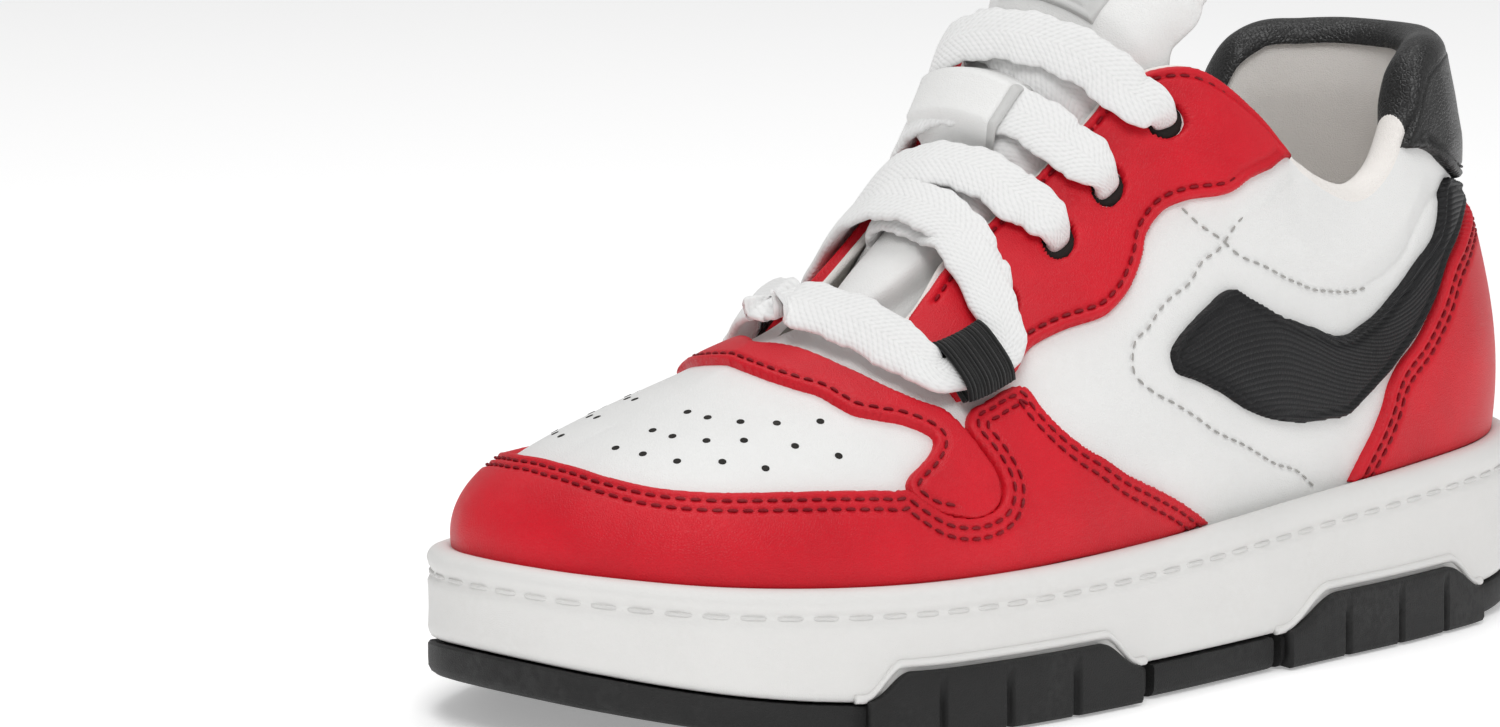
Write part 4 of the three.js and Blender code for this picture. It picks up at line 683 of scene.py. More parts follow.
STRIPE_LOW = [(6.345, .43), (6.36, .395), (6.48, .35), (6.6, .3), (6.74, .24), (6.89, .2), (7.05, .18),
    (7.23, .178), (7.39, .188), (7.53, .2), (7.68, .245), (7.86, .3), (7.99, .335), (8.12, .37), (8.3, .405),
    (8.56, .45), (8.9, .525), (9.3, .585), (9.8, .61), (10.4, .62), (11, .625)]
STRIPE_TOP = [(6.345, .43), (6.37, .455), (6.5, .48), (6.66, .492), (6.8, .5), (6.9, .465), (7.04, .43),
    (7.2, .43), (7.38, .44), (7.52, .447), (7.68, .47), (7.83, .51), (8.01, .55), (8.16, .58), (8.34, .595),
    (8.5, .59), (8.68, .583), (8.8, .61), (8.96, .69), (9.3, .675), (9.8, .655), (10.4, .65), (11, .65)]
HEEL_FRONT = [(7.54, .0), (7.66, .075), (7.78, .145), (7.89, .22), (7.97, .285), (8.1, .345), (8.3, .383),
    (8.56, .43), (8.9, .505), (9.4, .565), (10.2, .605), (11, .615)]
TAB_LOW = [(8.37, .965), (8.44, .92), (8.58, .86), (8.77, .785), (8.96, .725), (9.3, .685), (9.8, .665),
    (10.4, .66), (11, .66)]
EYELETS = [(6.8, 1.23), (6.41, 1.29), (6.01, 1.32), (5.53, 1.4)]


def side_of(line, side):
    """The line on the outer (-1) or the inner (1) side."""
    line = np.asarray(line, float)
    return line * [1, 1] if side < 0 else line * [-1, 1]


def over_toe(line):
    """A line from the toe's middle on the outer side, and its mirror image: from the inner side's end to the outer."""
    line = np.asarray(line, float)
    return np.concatenate([(line * [-1, 1])[::-1], line[1:]])


def round_heel(line):
    line = np.asarray(line, float)
    other = (line * [-1, 1] + [AROUND, 0])[::-1]
    return np.concatenate([line, other[1:]])


def ring_at(a, t, radius, count=28):
    """A circle of that radius on the skin about (a, t)."""
    du = np.linalg.norm(skin_point(a + 0.02, t) - skin_point(a - 0.02, t)) / 0.04
    dv = np.linalg.norm(skin_point(a, t + 0.02) - skin_point(a, t - 0.02)) / 0.04
    turn = np.linspace(0, 2 * np.pi, count, endpoint=False)
    return np.stack([a + radius / du * np.cos(turn), t + radius / dv * np.sin(turn)], -1)


# ---------------------------------------------------------------- base leather of the upper
def base_skin(name, stations, levels, height, material, stands_for):
    """The base leather: a grid over stations and rib heights, set off the skin by a height field."""
    A, T = np.meshgrid(stations, levels, indexing="ij")
    made = piece(name, skin(A, T, height(A, T)), grid_faces(*A.shape), material, stands_for=stands_for)
    return weld(made, 5e-6)


collar_seam = dense(COLLAR_SEAM)
quarter_seam = dense(QUARTER_SEAM)
collar_seam_inner = collar_seam * [-1, 1] + [AROUND, 0]
quarter_seam_inner = quarter_seam * [-1, 1] + [AROUND, 0]


def quarter_height(A, T):
    """The collar's padding, less a small groove along each sewn line."""
    height = collar_puff(A, T)
    shape = A.shape
    place = skin_point(A, T).reshape(-1, 3)
    dent = np.zeros(len(place))
    for seam in (collar_seam, quarter_seam, collar_seam_inner, quarter_seam_inner):
        near, _ = distance_to(place, skin_point(seam[::3, 0], seam[::3, 1]))
        dent = np.maximum(dent, 0.34 * np.exp(-((near / 0.6) ** 2)))
    return height - dent.reshape(shape)


base_skin("vamp_leather", np.linspace(-4.88, 4.88, 250), np.linspace(-0.03, 1, 64), lambda A, T: 0 * A,
    white_leather, ("toe_vamp",))


def rim_share(a):
    """1 where the collar edge is padded, 0 along the lacing edge."""
    return ease(7.0, 7.6, fold(a))


def rib_length(a):
    t = np.linspace(0, 1, 24)
    points = skin_point(np.asarray(a, float)[:, None], t[None])
    return np.linalg.norm(np.diff(points, axis=1), axis=-1).sum(-1)


stations = np.linspace(4.8, AROUND - 4.8, 460)
edge_radius = 0.55 + (RIM_DEPTH / 2 - 0.55) * rim_share(stations)
edge_level = 1 - edge_radius / rib_length(stations)
front = 1 - 0.13 * (1 - ease(4.7, 5.5, fold(stations)))
edge_level = np.minimum(edge_level, front)
level = np.linspace(0, 1, 100)[None, :] * (edge_level[:, None] + 0.03) - 0.03
grid_a = np.broadcast_to(stations[:, None], level.shape)
piece("quarter_leather", skin(grid_a, level, quarter_height(grid_a, level)), grid_faces(*level.shape),
    white_leather, stands_for=("quarter_lateral", "quarter_medial"))


def lining_depth(a, t):
    """How deep the inner face lies under the skin: the leather alone by the laces, and the padded collar behind."""
    s = fold(a)
    lined = 1 - ease(0.60, 0.74, t) * (1 - ease(6.9, 7.5, s))
    pad = ease(0.42, 0.66, t) * ease(6.9, 7.6, s)
    return 1.1 + lined * 2.2 + (RIM_DEPTH - 3.3) * pad - 0.4 * pad * ease(0.9, 1, t)


def collar_lining():
    """The rolled collar edge and the lining below it: over the edge a half circle from the outer face to the inner
    one, then down the inside at the lining's depth to the footbed."""
    theta = np.linspace(0, np.pi, 15)[None, :]
    a = stations[:, None]
    top_t = edge_level[:, None]
    depth = lining_depth(a, top_t)
    radius = depth / 2
    puff = quarter_height(np.broadcast_to(a, top_t.shape), top_t)
    normal = skin_normal(stations, edge_level)[:, None]
    up = unit(skin_point(stations, edge_level) - skin_point(stations, edge_level - 0.01))[:, None]
    up = unit(up - normal * (up * normal).sum(-1, keepdims=True))
    centre = skin_point(stations, edge_level)[:, None] + normal * (puff - radius)[..., None]
    lift = np.minimum(edge_radius, 3.0)[:, None]
    roll = centre + normal * (radius * np.cos(theta))[..., None] + up * (lift * np.sin(theta))[..., None]
    down = np.linspace(1, 0, 70)[None, 1:] * (top_t + 0.05) - 0.05
    grid = np.broadcast_to(a, down.shape)
    settle = ease(0, 0.1, top_t - down)
    inner = skin(grid, down, -lining_depth(grid, down) + puff * (1 - settle))
    return np.concatenate([roll, inner], 1)


lined = collar_lining()
piece("collar_lining", lined, grid_faces(*lined.shape[:2]), lining_cloth, stands_for=("quarter_lining",
    "collar_foam", "heel_counter"))

# ---------------------------------------------------------------- sewn panels
HOLE = 2.7  # radius left open for each lace hole
SEW = 1.5  # first row of stitches in from a panel edge
DOUBLE = 2.9  # second row

def drawn_in(line, span, distance):
    """The line moved sideways only over a span of stations, easing in and out of the move."""
    s = np.abs(line[:, 0])
    moved = shifted(line, distance)
    share = (ease(span[0], span[0] + 0.12, s) * (1 - ease(span[1] - 0.12, span[1], s)))[:, None]
    return line + (moved - line) * share


mudguard_edge = drawn_in(dense(over_toe(MUDGUARD)), (4.22, 5.12), 0.95)
mud_seams = [shifted(mudguard_edge, -SEW), shifted(mudguard_edge, -DOUBLE)]
mud_low = np.stack([np.linspace(6.46, -6.46, 700), np.full(700, LOW)], -1)
inlay("mudguard_leather", [np.concatenate([mudguard_edge[:-1], mud_low[:-1]])], red_leather, mud_seams, 1.45,
    stands_for=("mudguard",))


def band_outline():
    """The band over the instep: along its toe-side edge from the outer side over the ridge to the inner, and back."""
    over = lambda line: np.concatenate([np.asarray(line, float), (np.asarray(line, float)[:-1] * [1, -1] + [0, 2])[
        ::-1]])
    return over(BAND_TOE), over(BAND_TOP)


band_toe, band_top = [dense(line) for line in band_outline()]
band_seam = shifted(band_toe, -SEW)
inlay("band_leather", [np.concatenate([band_toe[:-1], band_top[::-1][:-1]])], red_leather, [band_seam], 1.35,
    stands_for=("vamp_band",))

red_rows = [(line, 1.35) for line in mud_seams] + [(band_seam, 1.25)]
for side, word in ((-1, "lateral"), (1, "medial")):
    low, top = side_of(EYESTAY_LOW, side), side_of(EYESTAY_TOP, side)
    low_edge, top_edge = [np.stack([e[:, 0], np.minimum(e[:, 1], np.interp(fold(e[:, 0]), stations, edge_level))],
        -1) for e in (dense(low), dense(top))]
    outline = np.concatenate([low_edge, top_edge[::-1]])
    low_seam = shifted(low_edge, -side * SEW)[8:-14]
    top_seam = shifted(dense(top[1:]), side * 1.6)[8:-16]
    holes = [ring_at(-side * s, 1 - (v - 1) * 0.5, HOLE) for s, v in EYELETS]
    inlay(f"eyestay_leather_{word}", [outline] + holes, red_leather, [low_seam, top_seam], 1.4, cell=0.62,
        stands_for=(f"eyestay_{word}",))
    red_rows += [(low_seam, 1.3), (top_seam, 1.3)]
    stripe = np.concatenate([dense(side_of(STRIPE_LOW, side))[:-1], dense(side_of(STRIPE_TOP, side))[::-1][:-1]])
    inlay(f"stripe_{word}", [stripe], ribbed_black, [shifted(stripe, -side * 1.3)], 1.25, cell=0.45,
        stands_for=(f"side_stripe_{word}",), run=lambda at,
        points: np.stack([at[:, 0] * 0.016, (at[:, 1] * 60 + fold(at[:, 0]) * 1.5) * 0.001], -1))

heel_edge = dense(round_heel(HEEL_FRONT))
heel_low = np.stack([np.linspace(AROUND - 7.54, 7.54, 500), np.full(500, LOW)], -1)
heel_seams = [shifted(heel_edge, -SEW), shifted(heel_edge, -DOUBLE)]
inlay("heel_leather", [np.concatenate([heel_edge[:-1], heel_low[:-1]])], red_leather, heel_seams, 1.6,
    stands_for=("heel_overlay",))
red_rows += [(line, 1.5) for line in heel_seams]

tab_low = dense(round_heel(TAB_LOW))
tab_top_a = np.linspace(8.37, AROUND - 8.37, 500)
tab_top = np.stack([tab_top_a, np.interp(tab_top_a, stations, edge_level) + 0.004], -1)
tab_seam = shifted(tab_low, SEW)
inlay("heel_tab_leather", [np.concatenate([tab_low[:-1], tab_top[::-1][:-1]])], black_leather, [tab_seam], 1.5,
    stands_for=("heel_tab",))


def tab_roll():
    """The heel tab's upper end: from its outer face over the collar edge, down a little way inside."""
    a = np.linspace(8.42, AROUND - 8.42, 220)
    t = np.interp(a, stations, edge_level)
    theta = np.linspace(-0.15, np.pi * 0.97, 20)[None, :]
    wrap = ease(8.42, 8.62, fold(a))
    depth = lining_depth(a, t) - 0.3 + 2.5 * wrap
    normal = skin_normal(a, t)[:, None]
    up = unit(skin_point(a, t) - skin_point(a, t - 0.01))[:, None]
    up = unit(up - normal * (up * normal).sum(-1, keepdims=True))
    puff = (collar_puff(a, t) - 0.15 + 1.5 * wrap)[:, None]
    radius = (depth / 2)[:, None]
    lift = (np.interp(a, stations, edge_radius) - 0.15 + 1.05 * wrap)[:, None]
    centre = skin_point(a, t)[:, None] + normal * (puff - radius)[..., None]
    return centre + normal * (radius * np.cos(theta))[..., None] + up * (lift * np.sin(theta))[..., None]


rolled = tab_roll()
piece("heel_tab_roll", rolled, grid_faces(*rolled.shape[:2]), black_leather)

stitches("panel_stitching", red_rows, red_thread)
stitches("quarter_stitching", [(collar_seam[: -200], 0.0), (quarter_seam, 0.05), (collar_seam_inner[: -200], 0.0),
    (quarter_seam_inner, 0.05)], grey_thread, length=1.3, pitch=1.9, radius=0.16)
stitches("tab_stitching", [(tab_seam, 1.6)], black_thread)

VENTS = [(4.06, .62), (4.01, .48), (3.74, .66), (3.75, .55), (3.46, .48), (3.48, .71), (3.41, .62), (3.16, .54),
    (3.23, .78), (3.10, .66), (2.74, .58), (3.06, .85), (2.75, .73), (2.36, .65), (2.49, .80), (1.89, .72)]


def dots(name, places, radius, material, height=0.0):
    """Small round holes: each is a dark disc, painted shade for the hole's inside, whose rim turns down into the
    leather.
    """
    turn = np.linspace(0, 2 * np.pi, 14, endpoint=False)
    share = np.array([1.0, 0.97, 0.6, 0.02])
    depth = np.array([-0.2, 0.07, 0.05, 0.05])
    points, faces = [], []
    for a, t in places:
        here, normal = skin(a, t, np.array(height)), skin_normal(a, t)
        way = unit(skin_point(a + 0.01, t) - skin_point(a - 0.01, t))
        other = np.cross(normal, way)
        ring = (here + share[:, None, None] * radius * (np.cos(turn)[None, :, None] * way + np.sin(turn)[None, :,
            None] * other) + depth[:, None, None] * normal)
        faces += grid_faces(len(share), len(turn), close_columns=True, start=sum(map(len, points)))
        points.append(ring.reshape(-1, 3))
    return piece(name, np.concatenate(points), [f[::-1] for f in faces], material)


# Dark discs painted as the shade inside the vent holes and under the lace holes.
dots("vents", VENTS + [(-a, t) for a, t in VENTS], 0.56, painted_hole_shade)
dots("eyelet_shade", [(side * s, 1 - (v - 1) * 0.5) for s, v in EYELETS for side in (1, -1)], 2.75, painted_hole_shade, 0.2)

# ---------------------------------------------------------------- sole
RUBBER = 4.7
cup_bottom = lambda x: ground(x) + RUBBER + 0.3


def sole_rings(stations_count, profile):
    """A surface round the sole: profile is rows of (inset, height function), and each row is one closed ring."""
    a = np.linspace(0, AROUND, stations_count, endpoint=False)
    rings = []
    for inset, height in profile:
        plan, _ = sole_edge(a, np.full(stations_count, float(inset)))
        rings.append(np.concatenate([plan, height(plan[:, :1])], -1))
    return np.stack(rings)


def cap_faces(ring, count, up):
    """Quads across a ring from each side to its mirror station, closing it."""
    i = np.arange(1, count // 2 - 1)
    start = ring * count
    quads = np.stack([start + i, start + i + 1, start + count - i - 1, start + count - i], -1).tolist()
    ends = [[start, start + 1, start + count - 1], [start + count // 2 - 1, start + count // 2, start + count // 2 + 1]]
    every = quads + ends
    return every if up else [f[::-1] for f in every]


ROUND = 480  # points in each ring of the sole


def offsets(line, steps):
    """Profile rows (inset, height line) for steps (inset, rise over the line), in mm."""
    return [(inset, lambda x, rise=rise: line(x) + rise) for inset, rise in steps]


def cupsole_shell():
    """The cupsole: a rounded foot, a plain wall, the sewing groove, a half-round bead, and down inside to the board."""
    bead = np.linspace(0, np.pi, 17)
    profile = [(2.0, cup_bottom)] + offsets(cup_bottom, [(1.2, 0.05), (0.5, 0.3), (0.15, 0.9)])
    profile += [(0.12 * math.sin(math.pi * w), lambda x, w=w: (cup_bottom(x) + 1.6) * (1 - w)
        + (groove_line(x) - 1.3) * w) for w in np.linspace(0, 1, 9)]
    profile += offsets(groove_line, [(0.12, -0.95), (0.3, -0.6), (0.48, -0.2), (0.48, 0.2), (0.4, 0.6), (0.15, 0.9)])
    profile += [(2.15 - 2.3 * math.cos(q), lambda x, q=q: (groove_line(x) + 1.2) * (1 - math.sin(q) ** 0.8)
        + (bead_top(x) + 0.35) * math.sin(q) ** 0.8) for q in bead[1:10]]
    profile += [(2.15 - 2.3 * math.cos(q), lambda x, q=q: bead_top(x) + 0.35 - 1.5 * (1 - math.sin(q)))
        for q in bead[10:15]]
    profile += offsets(bead_top, [(WALL, -2.5), (WALL, -9)])
    points = sole_rings(ROUND, profile)
    faces = grid_faces(len(profile), ROUND, close_columns=True)
    faces = [f[::-1] for f in faces] + cap_faces(0, ROUND, False)
    return piece("cupsole_shell", points, faces, white_rubber, stands_for=("cupsole",))


cupsole_shell()


SOLE_STITCH = 5.0  # mm from one stitch of the sole to the next
SOLE_STITCH_HALF = 2.1  # mm, half its length
SOLE_THREAD = 0.3  # mm, the thread's radius


def sole_thread():
    """The sole's sewing: long stitches lying in the groove."""
    a = np.linspace(0, AROUND, 1200, endpoint=False)
    plan, out = sole_edge(a, np.full(len(a), 0.42))
    line = np.concatenate([plan, groove_line(plan[:, :1])], -1)
    length = np.concatenate([[0], np.cumsum(np.linalg.norm(np.diff(line, axis=0), axis=-1))])
    count = int(length[-1] / SOLE_STITCH)
    at = (np.arange(count) + 0.5) * length[-1] / count
    pick = lambda shift, data: np.stack([np.interp(at + shift, length, data[:, k]) for k in range(data.shape[1])], -1)
    middle, way = pick(0, line), unit(pick(0.5, line) - pick(-0.5, line))
    up = np.concatenate([pick(0, out), np.zeros((count, 1))], -1)
    side = unit(np.cross(up, way))
    along, turn = np.linspace(-1, 1, 9), np.linspace(0, 2 * np.pi, 8, endpoint=False)
    girth = np.sqrt(np.maximum(1 - along**6, 0)) * SOLE_THREAD
    shape = np.stack(np.broadcast_arrays(along[:, None] * SOLE_STITCH_HALF, girth[:, None] * np.cos(turn),
        girth[:, None] * np.sin(turn) - 0.35 * along[:, None] ** 4), -1).reshape(-1, 3)
    points, faces = laid_along(shape, len(along), len(turn), middle, way, side, up)
    return piece("sole_thread", points, faces, white_thread, stands_for=("sole_stitching",))


sole_thread()

LUG_BLOCKS = [(3.85, 5.75, 9.3, 0.28), (6.85, 8.62, 9.4, 0.4), (-5.55, -3.7, 8.6, 0.25), (-8.5, -6.75, 8.8, 0.35)]


def lug_top(a, start, end, height, slant):
    rise = ease(0, 1, np.minimum(np.clip((a - start) / slant, 0, 1), np.clip((end - a) / slant, 0, 1)))
    return 5.4 + (height - 5.4) * rise


def lug_block(number, start, end, height, slant, ruts=3):
    """A tread block that climbs the sidewall: a rounded section that stands proud of the wall, its top rising on a
    slant from both ends, with narrow ruts cut across its face."""
    a = np.linspace(start, end, 220)
    marks = np.linspace(start, end, ruts + 2)[1:-1]
    per = np.linalg.norm(sole_edge(marks + 0.01)[0] - sole_edge(marks - 0.01)[0], axis=-1).mean() / 0.02
    near = np.abs(a[:, None] - marks[None]).min(-1) * per
    cut = 1 - ease(0.35, 0.75, near)
    top = lug_top(a, start, end, height, slant)
    sink = 1.15 * cut
    section = [(0.9, lambda: 0.3 + 0 * a), (-0.9, lambda: 0.12 + 0 * a), (-1.35, lambda: 0.25 + 0 * a),
        (-1.6, lambda: 0.8 + 0 * a)]
    section += [(-1.62 + 0.16 * w, lambda w=w: 0.8 + (top - 1.4) * w) for w in (0.25, 0.5, 0.75, 1.0)]
    section += [(-1.3, lambda: top - 0.22), (-0.9, lambda: top), (-0.2, lambda: top), (0.3, lambda: top - 0.2),
        (0.3, lambda: 4.2 + 0 * a)]
    rows = []
    for inset, z in section:
        deep = np.where(inset < -0.2, sink * (1 - ease(0.55, 0.85, z() / np.maximum(top, 1))), 0)
        plan, _ = sole_edge(a, inset + deep)
        rows.append(np.concatenate([plan, (z() + ground(plan[:, 0]))[:, None]], -1))
    points = np.stack(rows, 1)
    faces = tube_faces(len(a), len(section))
    return outward(piece(f"tread_block_{number}", points, faces, black_rubber))


for number, block in enumerate(LUG_BLOCKS):
    lug_block(number, *block)


def ledge(number, start, end, height, slant):
    """The raised lip of the cupsole round a tread block: a small half-round section along the block's outline."""
    a = np.linspace(start - 0.07, end + 0.07, 160)
    top = lug_top(a, start - 0.02, end + 0.02, height + 0.75, slant * 0.9) + 0.25
    turn = np.linspace(0, 2 * np.pi, 10, endpoint=False)
    rows = []
    for q in turn:
        plan, _ = sole_edge(a, 0.05 - 0.62 * math.cos(q))
        rows.append(np.concatenate([plan, (top + 0.62 * math.sin(q) + ground(plan[:, 0]))[:, None]], -1))
    return outward(piece(f"sole_lip_{number}", np.stack(rows, 1), tube_faces(len(a), len(turn)), white_rubber))


for number, block in enumerate(LUG_BLOCKS):
    ledge(number, *block)

CHANNELS = [[(-54, 46), (-55.5, 34), (-56.5, 21), (-48, 14), (-47.5, 9), (-57, -15), (-56.5, -18), (-50, -23),
    (-51, -31), (-51, -46)], [(-14, 42), (-15, 29), (-17.5, 17), (-8, 10), (-7.5, 4), (-16.5, -17), (-15.5, -20),
    (-9.5, -24), (-9, -34), (-9, -46)], [(17.5, 36), (18.5, 25), (19.5, 16), (26, 7.5), (27, 0), (25.5, -8),
    (20, -17), (19, -25), (19, -42)]]
WINDOWS = [(-23, 19.5), (-39, 11.5), (-31, 1), (-19.5, 3), (-46, -8.5), (-37.7, -18.6), (-26.3, -15), (-20.5, -28)]


def bars_mesh(lines, width, z0, z1):
    """Straight-walled strips of one width along plan lines, from z0 to z1: points and faces."""
    points, faces = [], []
    for line in lines:
        line = np.asarray(line, float)
        way = unit(np.gradient(line, axis=0))
        side = np.stack([-way[:, 1], way[:, 0]], -1) * width / 2
        ring = np.stack([np.column_stack([line - side, np.full(len(line), z0)]),
            np.column_stack([line + side, np.full(len(line), z0)]),
            np.column_stack([line + side, np.full(len(line), z1)]),
            np.column_stack([line - side, np.full(len(line), z1)])], 1)
        start = sum(map(len, points))
        faces += [[c + start for c in f] for f in tube_faces(len(line), 4)]
        points.append(ring.reshape(-1, 3))
    return np.concatenate(points), faces


def rounded_pad(x, y, width, length, z0, z1, dome, count=40, power=4.0):
    """A window or pad: a superellipse |x/w|^4 + |y/l|^4 = 1 in plan, tilted, with its edge rounded over by `dome`."""
    turn = np.linspace(0, 2 * np.pi, count, endpoint=False)
    c, s = np.cos(turn), np.sin(turn)
    shape = np.stack([np.sign(c) * np.abs(c) ** (2 / power) * width / 2, np.sign(s) * np.abs(s) ** (2 / power)
        * length / 2], -1)
    tilt = math.radians(-11)
    turned = shape @ np.array([[math.cos(tilt), math.sin(tilt)], [-math.sin(tilt), math.cos(tilt)]])
    levels = [(1.0, z1), (1.0, z0 + dome), (0.97, z0 + dome * 0.4), (0.88, z0), (0.01, z0)]
    rows = [np.column_stack([turned * share + [x, y], np.full(count, z)]) for share, z in levels]
    return np.stack(rows)


def cutter(name, points, faces):
    made = piece(name, points, faces, black_rubber, body=None)
    return outward(made)


def tread():
    """The outsole: a slab that follows the sole's edge, cut through by the channels and the windows, with shallow
    grooves for the tread."""
    profile = [(2.2, ground)] + offsets(ground, [(1.2, 0.12), (0.45, 0.5), (0.05, 1.2), (0.0, 2.4),
        (0.0, RUBBER - 0.5), (0.3, RUBBER - 0.05), (0.8, RUBBER)])
    points = sole_rings(ROUND, profile)
    faces = [f[::-1] for f in grid_faces(len(profile), ROUND, close_columns=True)]
    faces += cap_faces(0, ROUND, False) + cap_faces(len(profile) - 1, ROUND, True)
    slab = piece("tread", points, faces, black_rubber, stands_for=("outsole_toe", "outsole_forefoot",
        "outsole_midfoot", "outsole_heel"))
    through = cutter("cut_channels", *bars_mesh(CHANNELS, 1.8, -5, 16))
    pads = [rounded_pad(x, y, 6.7, 15.7, -3, 12, 0.0) for x, y in WINDOWS]
    pad_points = np.concatenate([np.concatenate([p[0], p[1]]) for p in pads])
    pad_faces = []
    for k in range(len(pads)):
        pad_faces += [[c + k * 80 for c in f] for f in tube_faces(2, 40)]
    windows = cutter("cut_windows", pad_points, pad_faces)
    toe_bars = [[(-84 + 5.5 * i, -14 - 2 * i), (-75 + 5.5 * i, 16 + 2 * i)] for i in range(4)]
    middle = [[(2.5, 11), (-2, -4)], [(9, 11), (5, -17)], [(16, 5.6), (16, -8)]]
    edges = [[(x, 25), (x, 44)] for x in (-44, -34, -25)] + [[(x, 17), (x, 36)] for x in (28, 37.5, 47, 55)]
    edges += [[(x, -26), (x, -46)] for x in (-44, -34, -25)] + [[(x, -19), (x, -40)] for x in (30, 39, 48, 57)]
    heel_bars = [[(40 + 8 * i, -12), (44 + 8 * i, 12)] for i in range(4)]
    groove = cutter("cut_grooves", *bars_mesh(toe_bars + middle + edges + heel_bars, 1.1, -3, 1.7))
    for tool in (through, windows, groove):
        step = slab.modifiers.new(tool.name, "BOOLEAN")
        step.operation, step.solver, step.object = "DIFFERENCE", "EXACT", tool
    bpy.context.view_layer.update()
    apply_modifiers(slab)
    for tool in (through, windows, groove):
        bpy.data.objects.remove(tool)
    slab.data.set_sharp_from_angle(angle=math.radians(35))
    return slab


tread()

pads = [rounded_pad(x, y, 6.0, 15.0, 0.7, 7, 0.7) for x, y in WINDOWS]
pad_faces = []
for k in range(len(pads)):
    pad_faces += grid_faces(5, 40, close_columns=True, start=k * 200)
piece("cushion_windows", np.concatenate([p.reshape(-1, 3) for p in pads]), [f[::-1] for f in pad_faces],
    white_rubber)

# ---------------------------------------------------------------- tongue
SEAM = 6.72


def tongue_top_point(u, v):
    """The tongue's upper part: the deck's arch at the seam, carried up and back by u and spread sideways."""
    x, y, z = np.moveaxis(deck_point(SEAM + 0 * u, v), -1, 0)
    cx, cy, cz = np.moveaxis(deck_point(SEAM + 0 * u, 0 * v), -1, 0)
    rim_y = deck_point(SEAM + 0 * u, np.clip(v, -1, 1))[..., 1]
    return np.stack([x + 14 * u * (1 + 0.15 * u) - (cx - x) * 0.2 * u, y + (rim_y - cy) * 0.4 * u, cz - (cz - z)
        * (1 + 0.35 * u) + 17.5 * u], -1)


def tongue_sheet(q, v):
    """One sheet for the whole tongue: q below 0 runs down the deck in stations from the seam, above 0 up the top."""
    low = deck_point(np.minimum(SEAM + q, SEAM), v)
    high = tongue_top_point(np.maximum(q, 0), v)
    return np.where((q > 0)[..., None], high, low)


def tongue():
    """A padded form: across every row the section is a closed superellipse, thin at the sides and full in the middle,
    pinched along the two sewn lines of the top."""
    q = np.concatenate([np.linspace(-2.1, -0.03, 90), np.linspace(0.0, 1.0, 70)])
    turn = np.linspace(0, 2 * np.pi, 64, endpoint=False)
    half = np.where(q < 0, 1.08 + 0.2 * (1 - ease(-2.1, -1.72, q)) + 0.42 * ease(-1.0, -0.1, q),
        1.5 - 0.45 * ease(0, 0.5, q))
    end = np.sqrt(np.clip(1 - (np.maximum(q - 0.62, 0) / 0.4) ** 3, 0.02, 1))
    half = half * end
    c, s = np.cos(turn), np.sin(turn)
    V = half[:, None] * np.sign(c)[None] * np.abs(c)[None] ** 0.8
    Q = np.broadcast_to(q[:, None], V.shape)
    sheet = tongue_sheet(Q, V)
    normal = unit(np.cross(tongue_sheet(Q + 0.01, V) - tongue_sheet(Q - 0.01, V), tongue_sheet(Q, V + 0.01)
        - tongue_sheet(Q, V - 0.01)))
    full = np.where(q < 0, 2.5, 2.5 + 0.9 * ease(0.05, 0.3, q)) * np.clip((1.02 - q) / 0.12, 0.12, 1) ** 0.5
    pinch = 1 - 0.45 * np.exp(-(((q - 0.02) / 0.04) ** 2)) - 0.3 * np.exp(-(((q - 0.72) / 0.03) ** 2))
    drop = -1.5 - 1.8 * ease(0.6, 0.95, np.abs(V) * np.where(Q > 0, 0.7, 1.0))
    height = drop - 2.6 + (full * pinch)[:, None] * np.sign(s)[None] * np.abs(s)[None] ** 0.7
    made = piece("tongue_pad", sheet + normal * height[..., None], tube_faces(len(q), len(turn)), white_leather,
        body=None, stands_for=("tongue_cover", "tongue_foam", "tongue_lining", "tongue_top_cover",
        "tongue_top_foam", "tongue_top_lining"))
    return outward(made)


tongue_pad = tongue()
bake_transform(tongue_pad)


def on_top(u, v, height):
    normal = unit(np.cross(tongue_top_point(u + 0.01, v) - tongue_top_point(u - 0.01, v),
        tongue_top_point(u, v + 0.01) - tongue_top_point(u, v - 0.01)))
    drop = -1.5 - 1.8 * ease(0.6, 0.95, np.abs(v) * 0.7)
    return tongue_top_point(u, v) + normal * (drop + height)[..., None]


def label():
    """A plain sewn patch on the tongue: a thin plate whose corners and edges are rounded over."""
    u, v = np.meshgrid(np.linspace(0.16, 0.5, 40), np.linspace(-0.5, 0.5, 70), indexing="ij")
    rim = np.minimum(np.minimum(u - 0.16, 0.5 - u) * 22, np.minimum(v + 0.5, 0.5 - v) * 11)
    height = 0.35 + 0.75 * np.sqrt(np.maximum(1 - (1 - np.minimum(rim / 0.6, 1)) ** 2, 0)) - 0.22 * np.exp(
        -(((rim - 1.3) / 0.3) ** 2))
    height[[0, -1], :] = -0.3
    height[:, [0, -1]] = -0.3
    return piece("tongue_patch", on_top(u, v, height), grid_faces(*u.shape), grey_label_and_edge_shade, body="tongue_top",
        stands_for=("tongue_label",))


label()


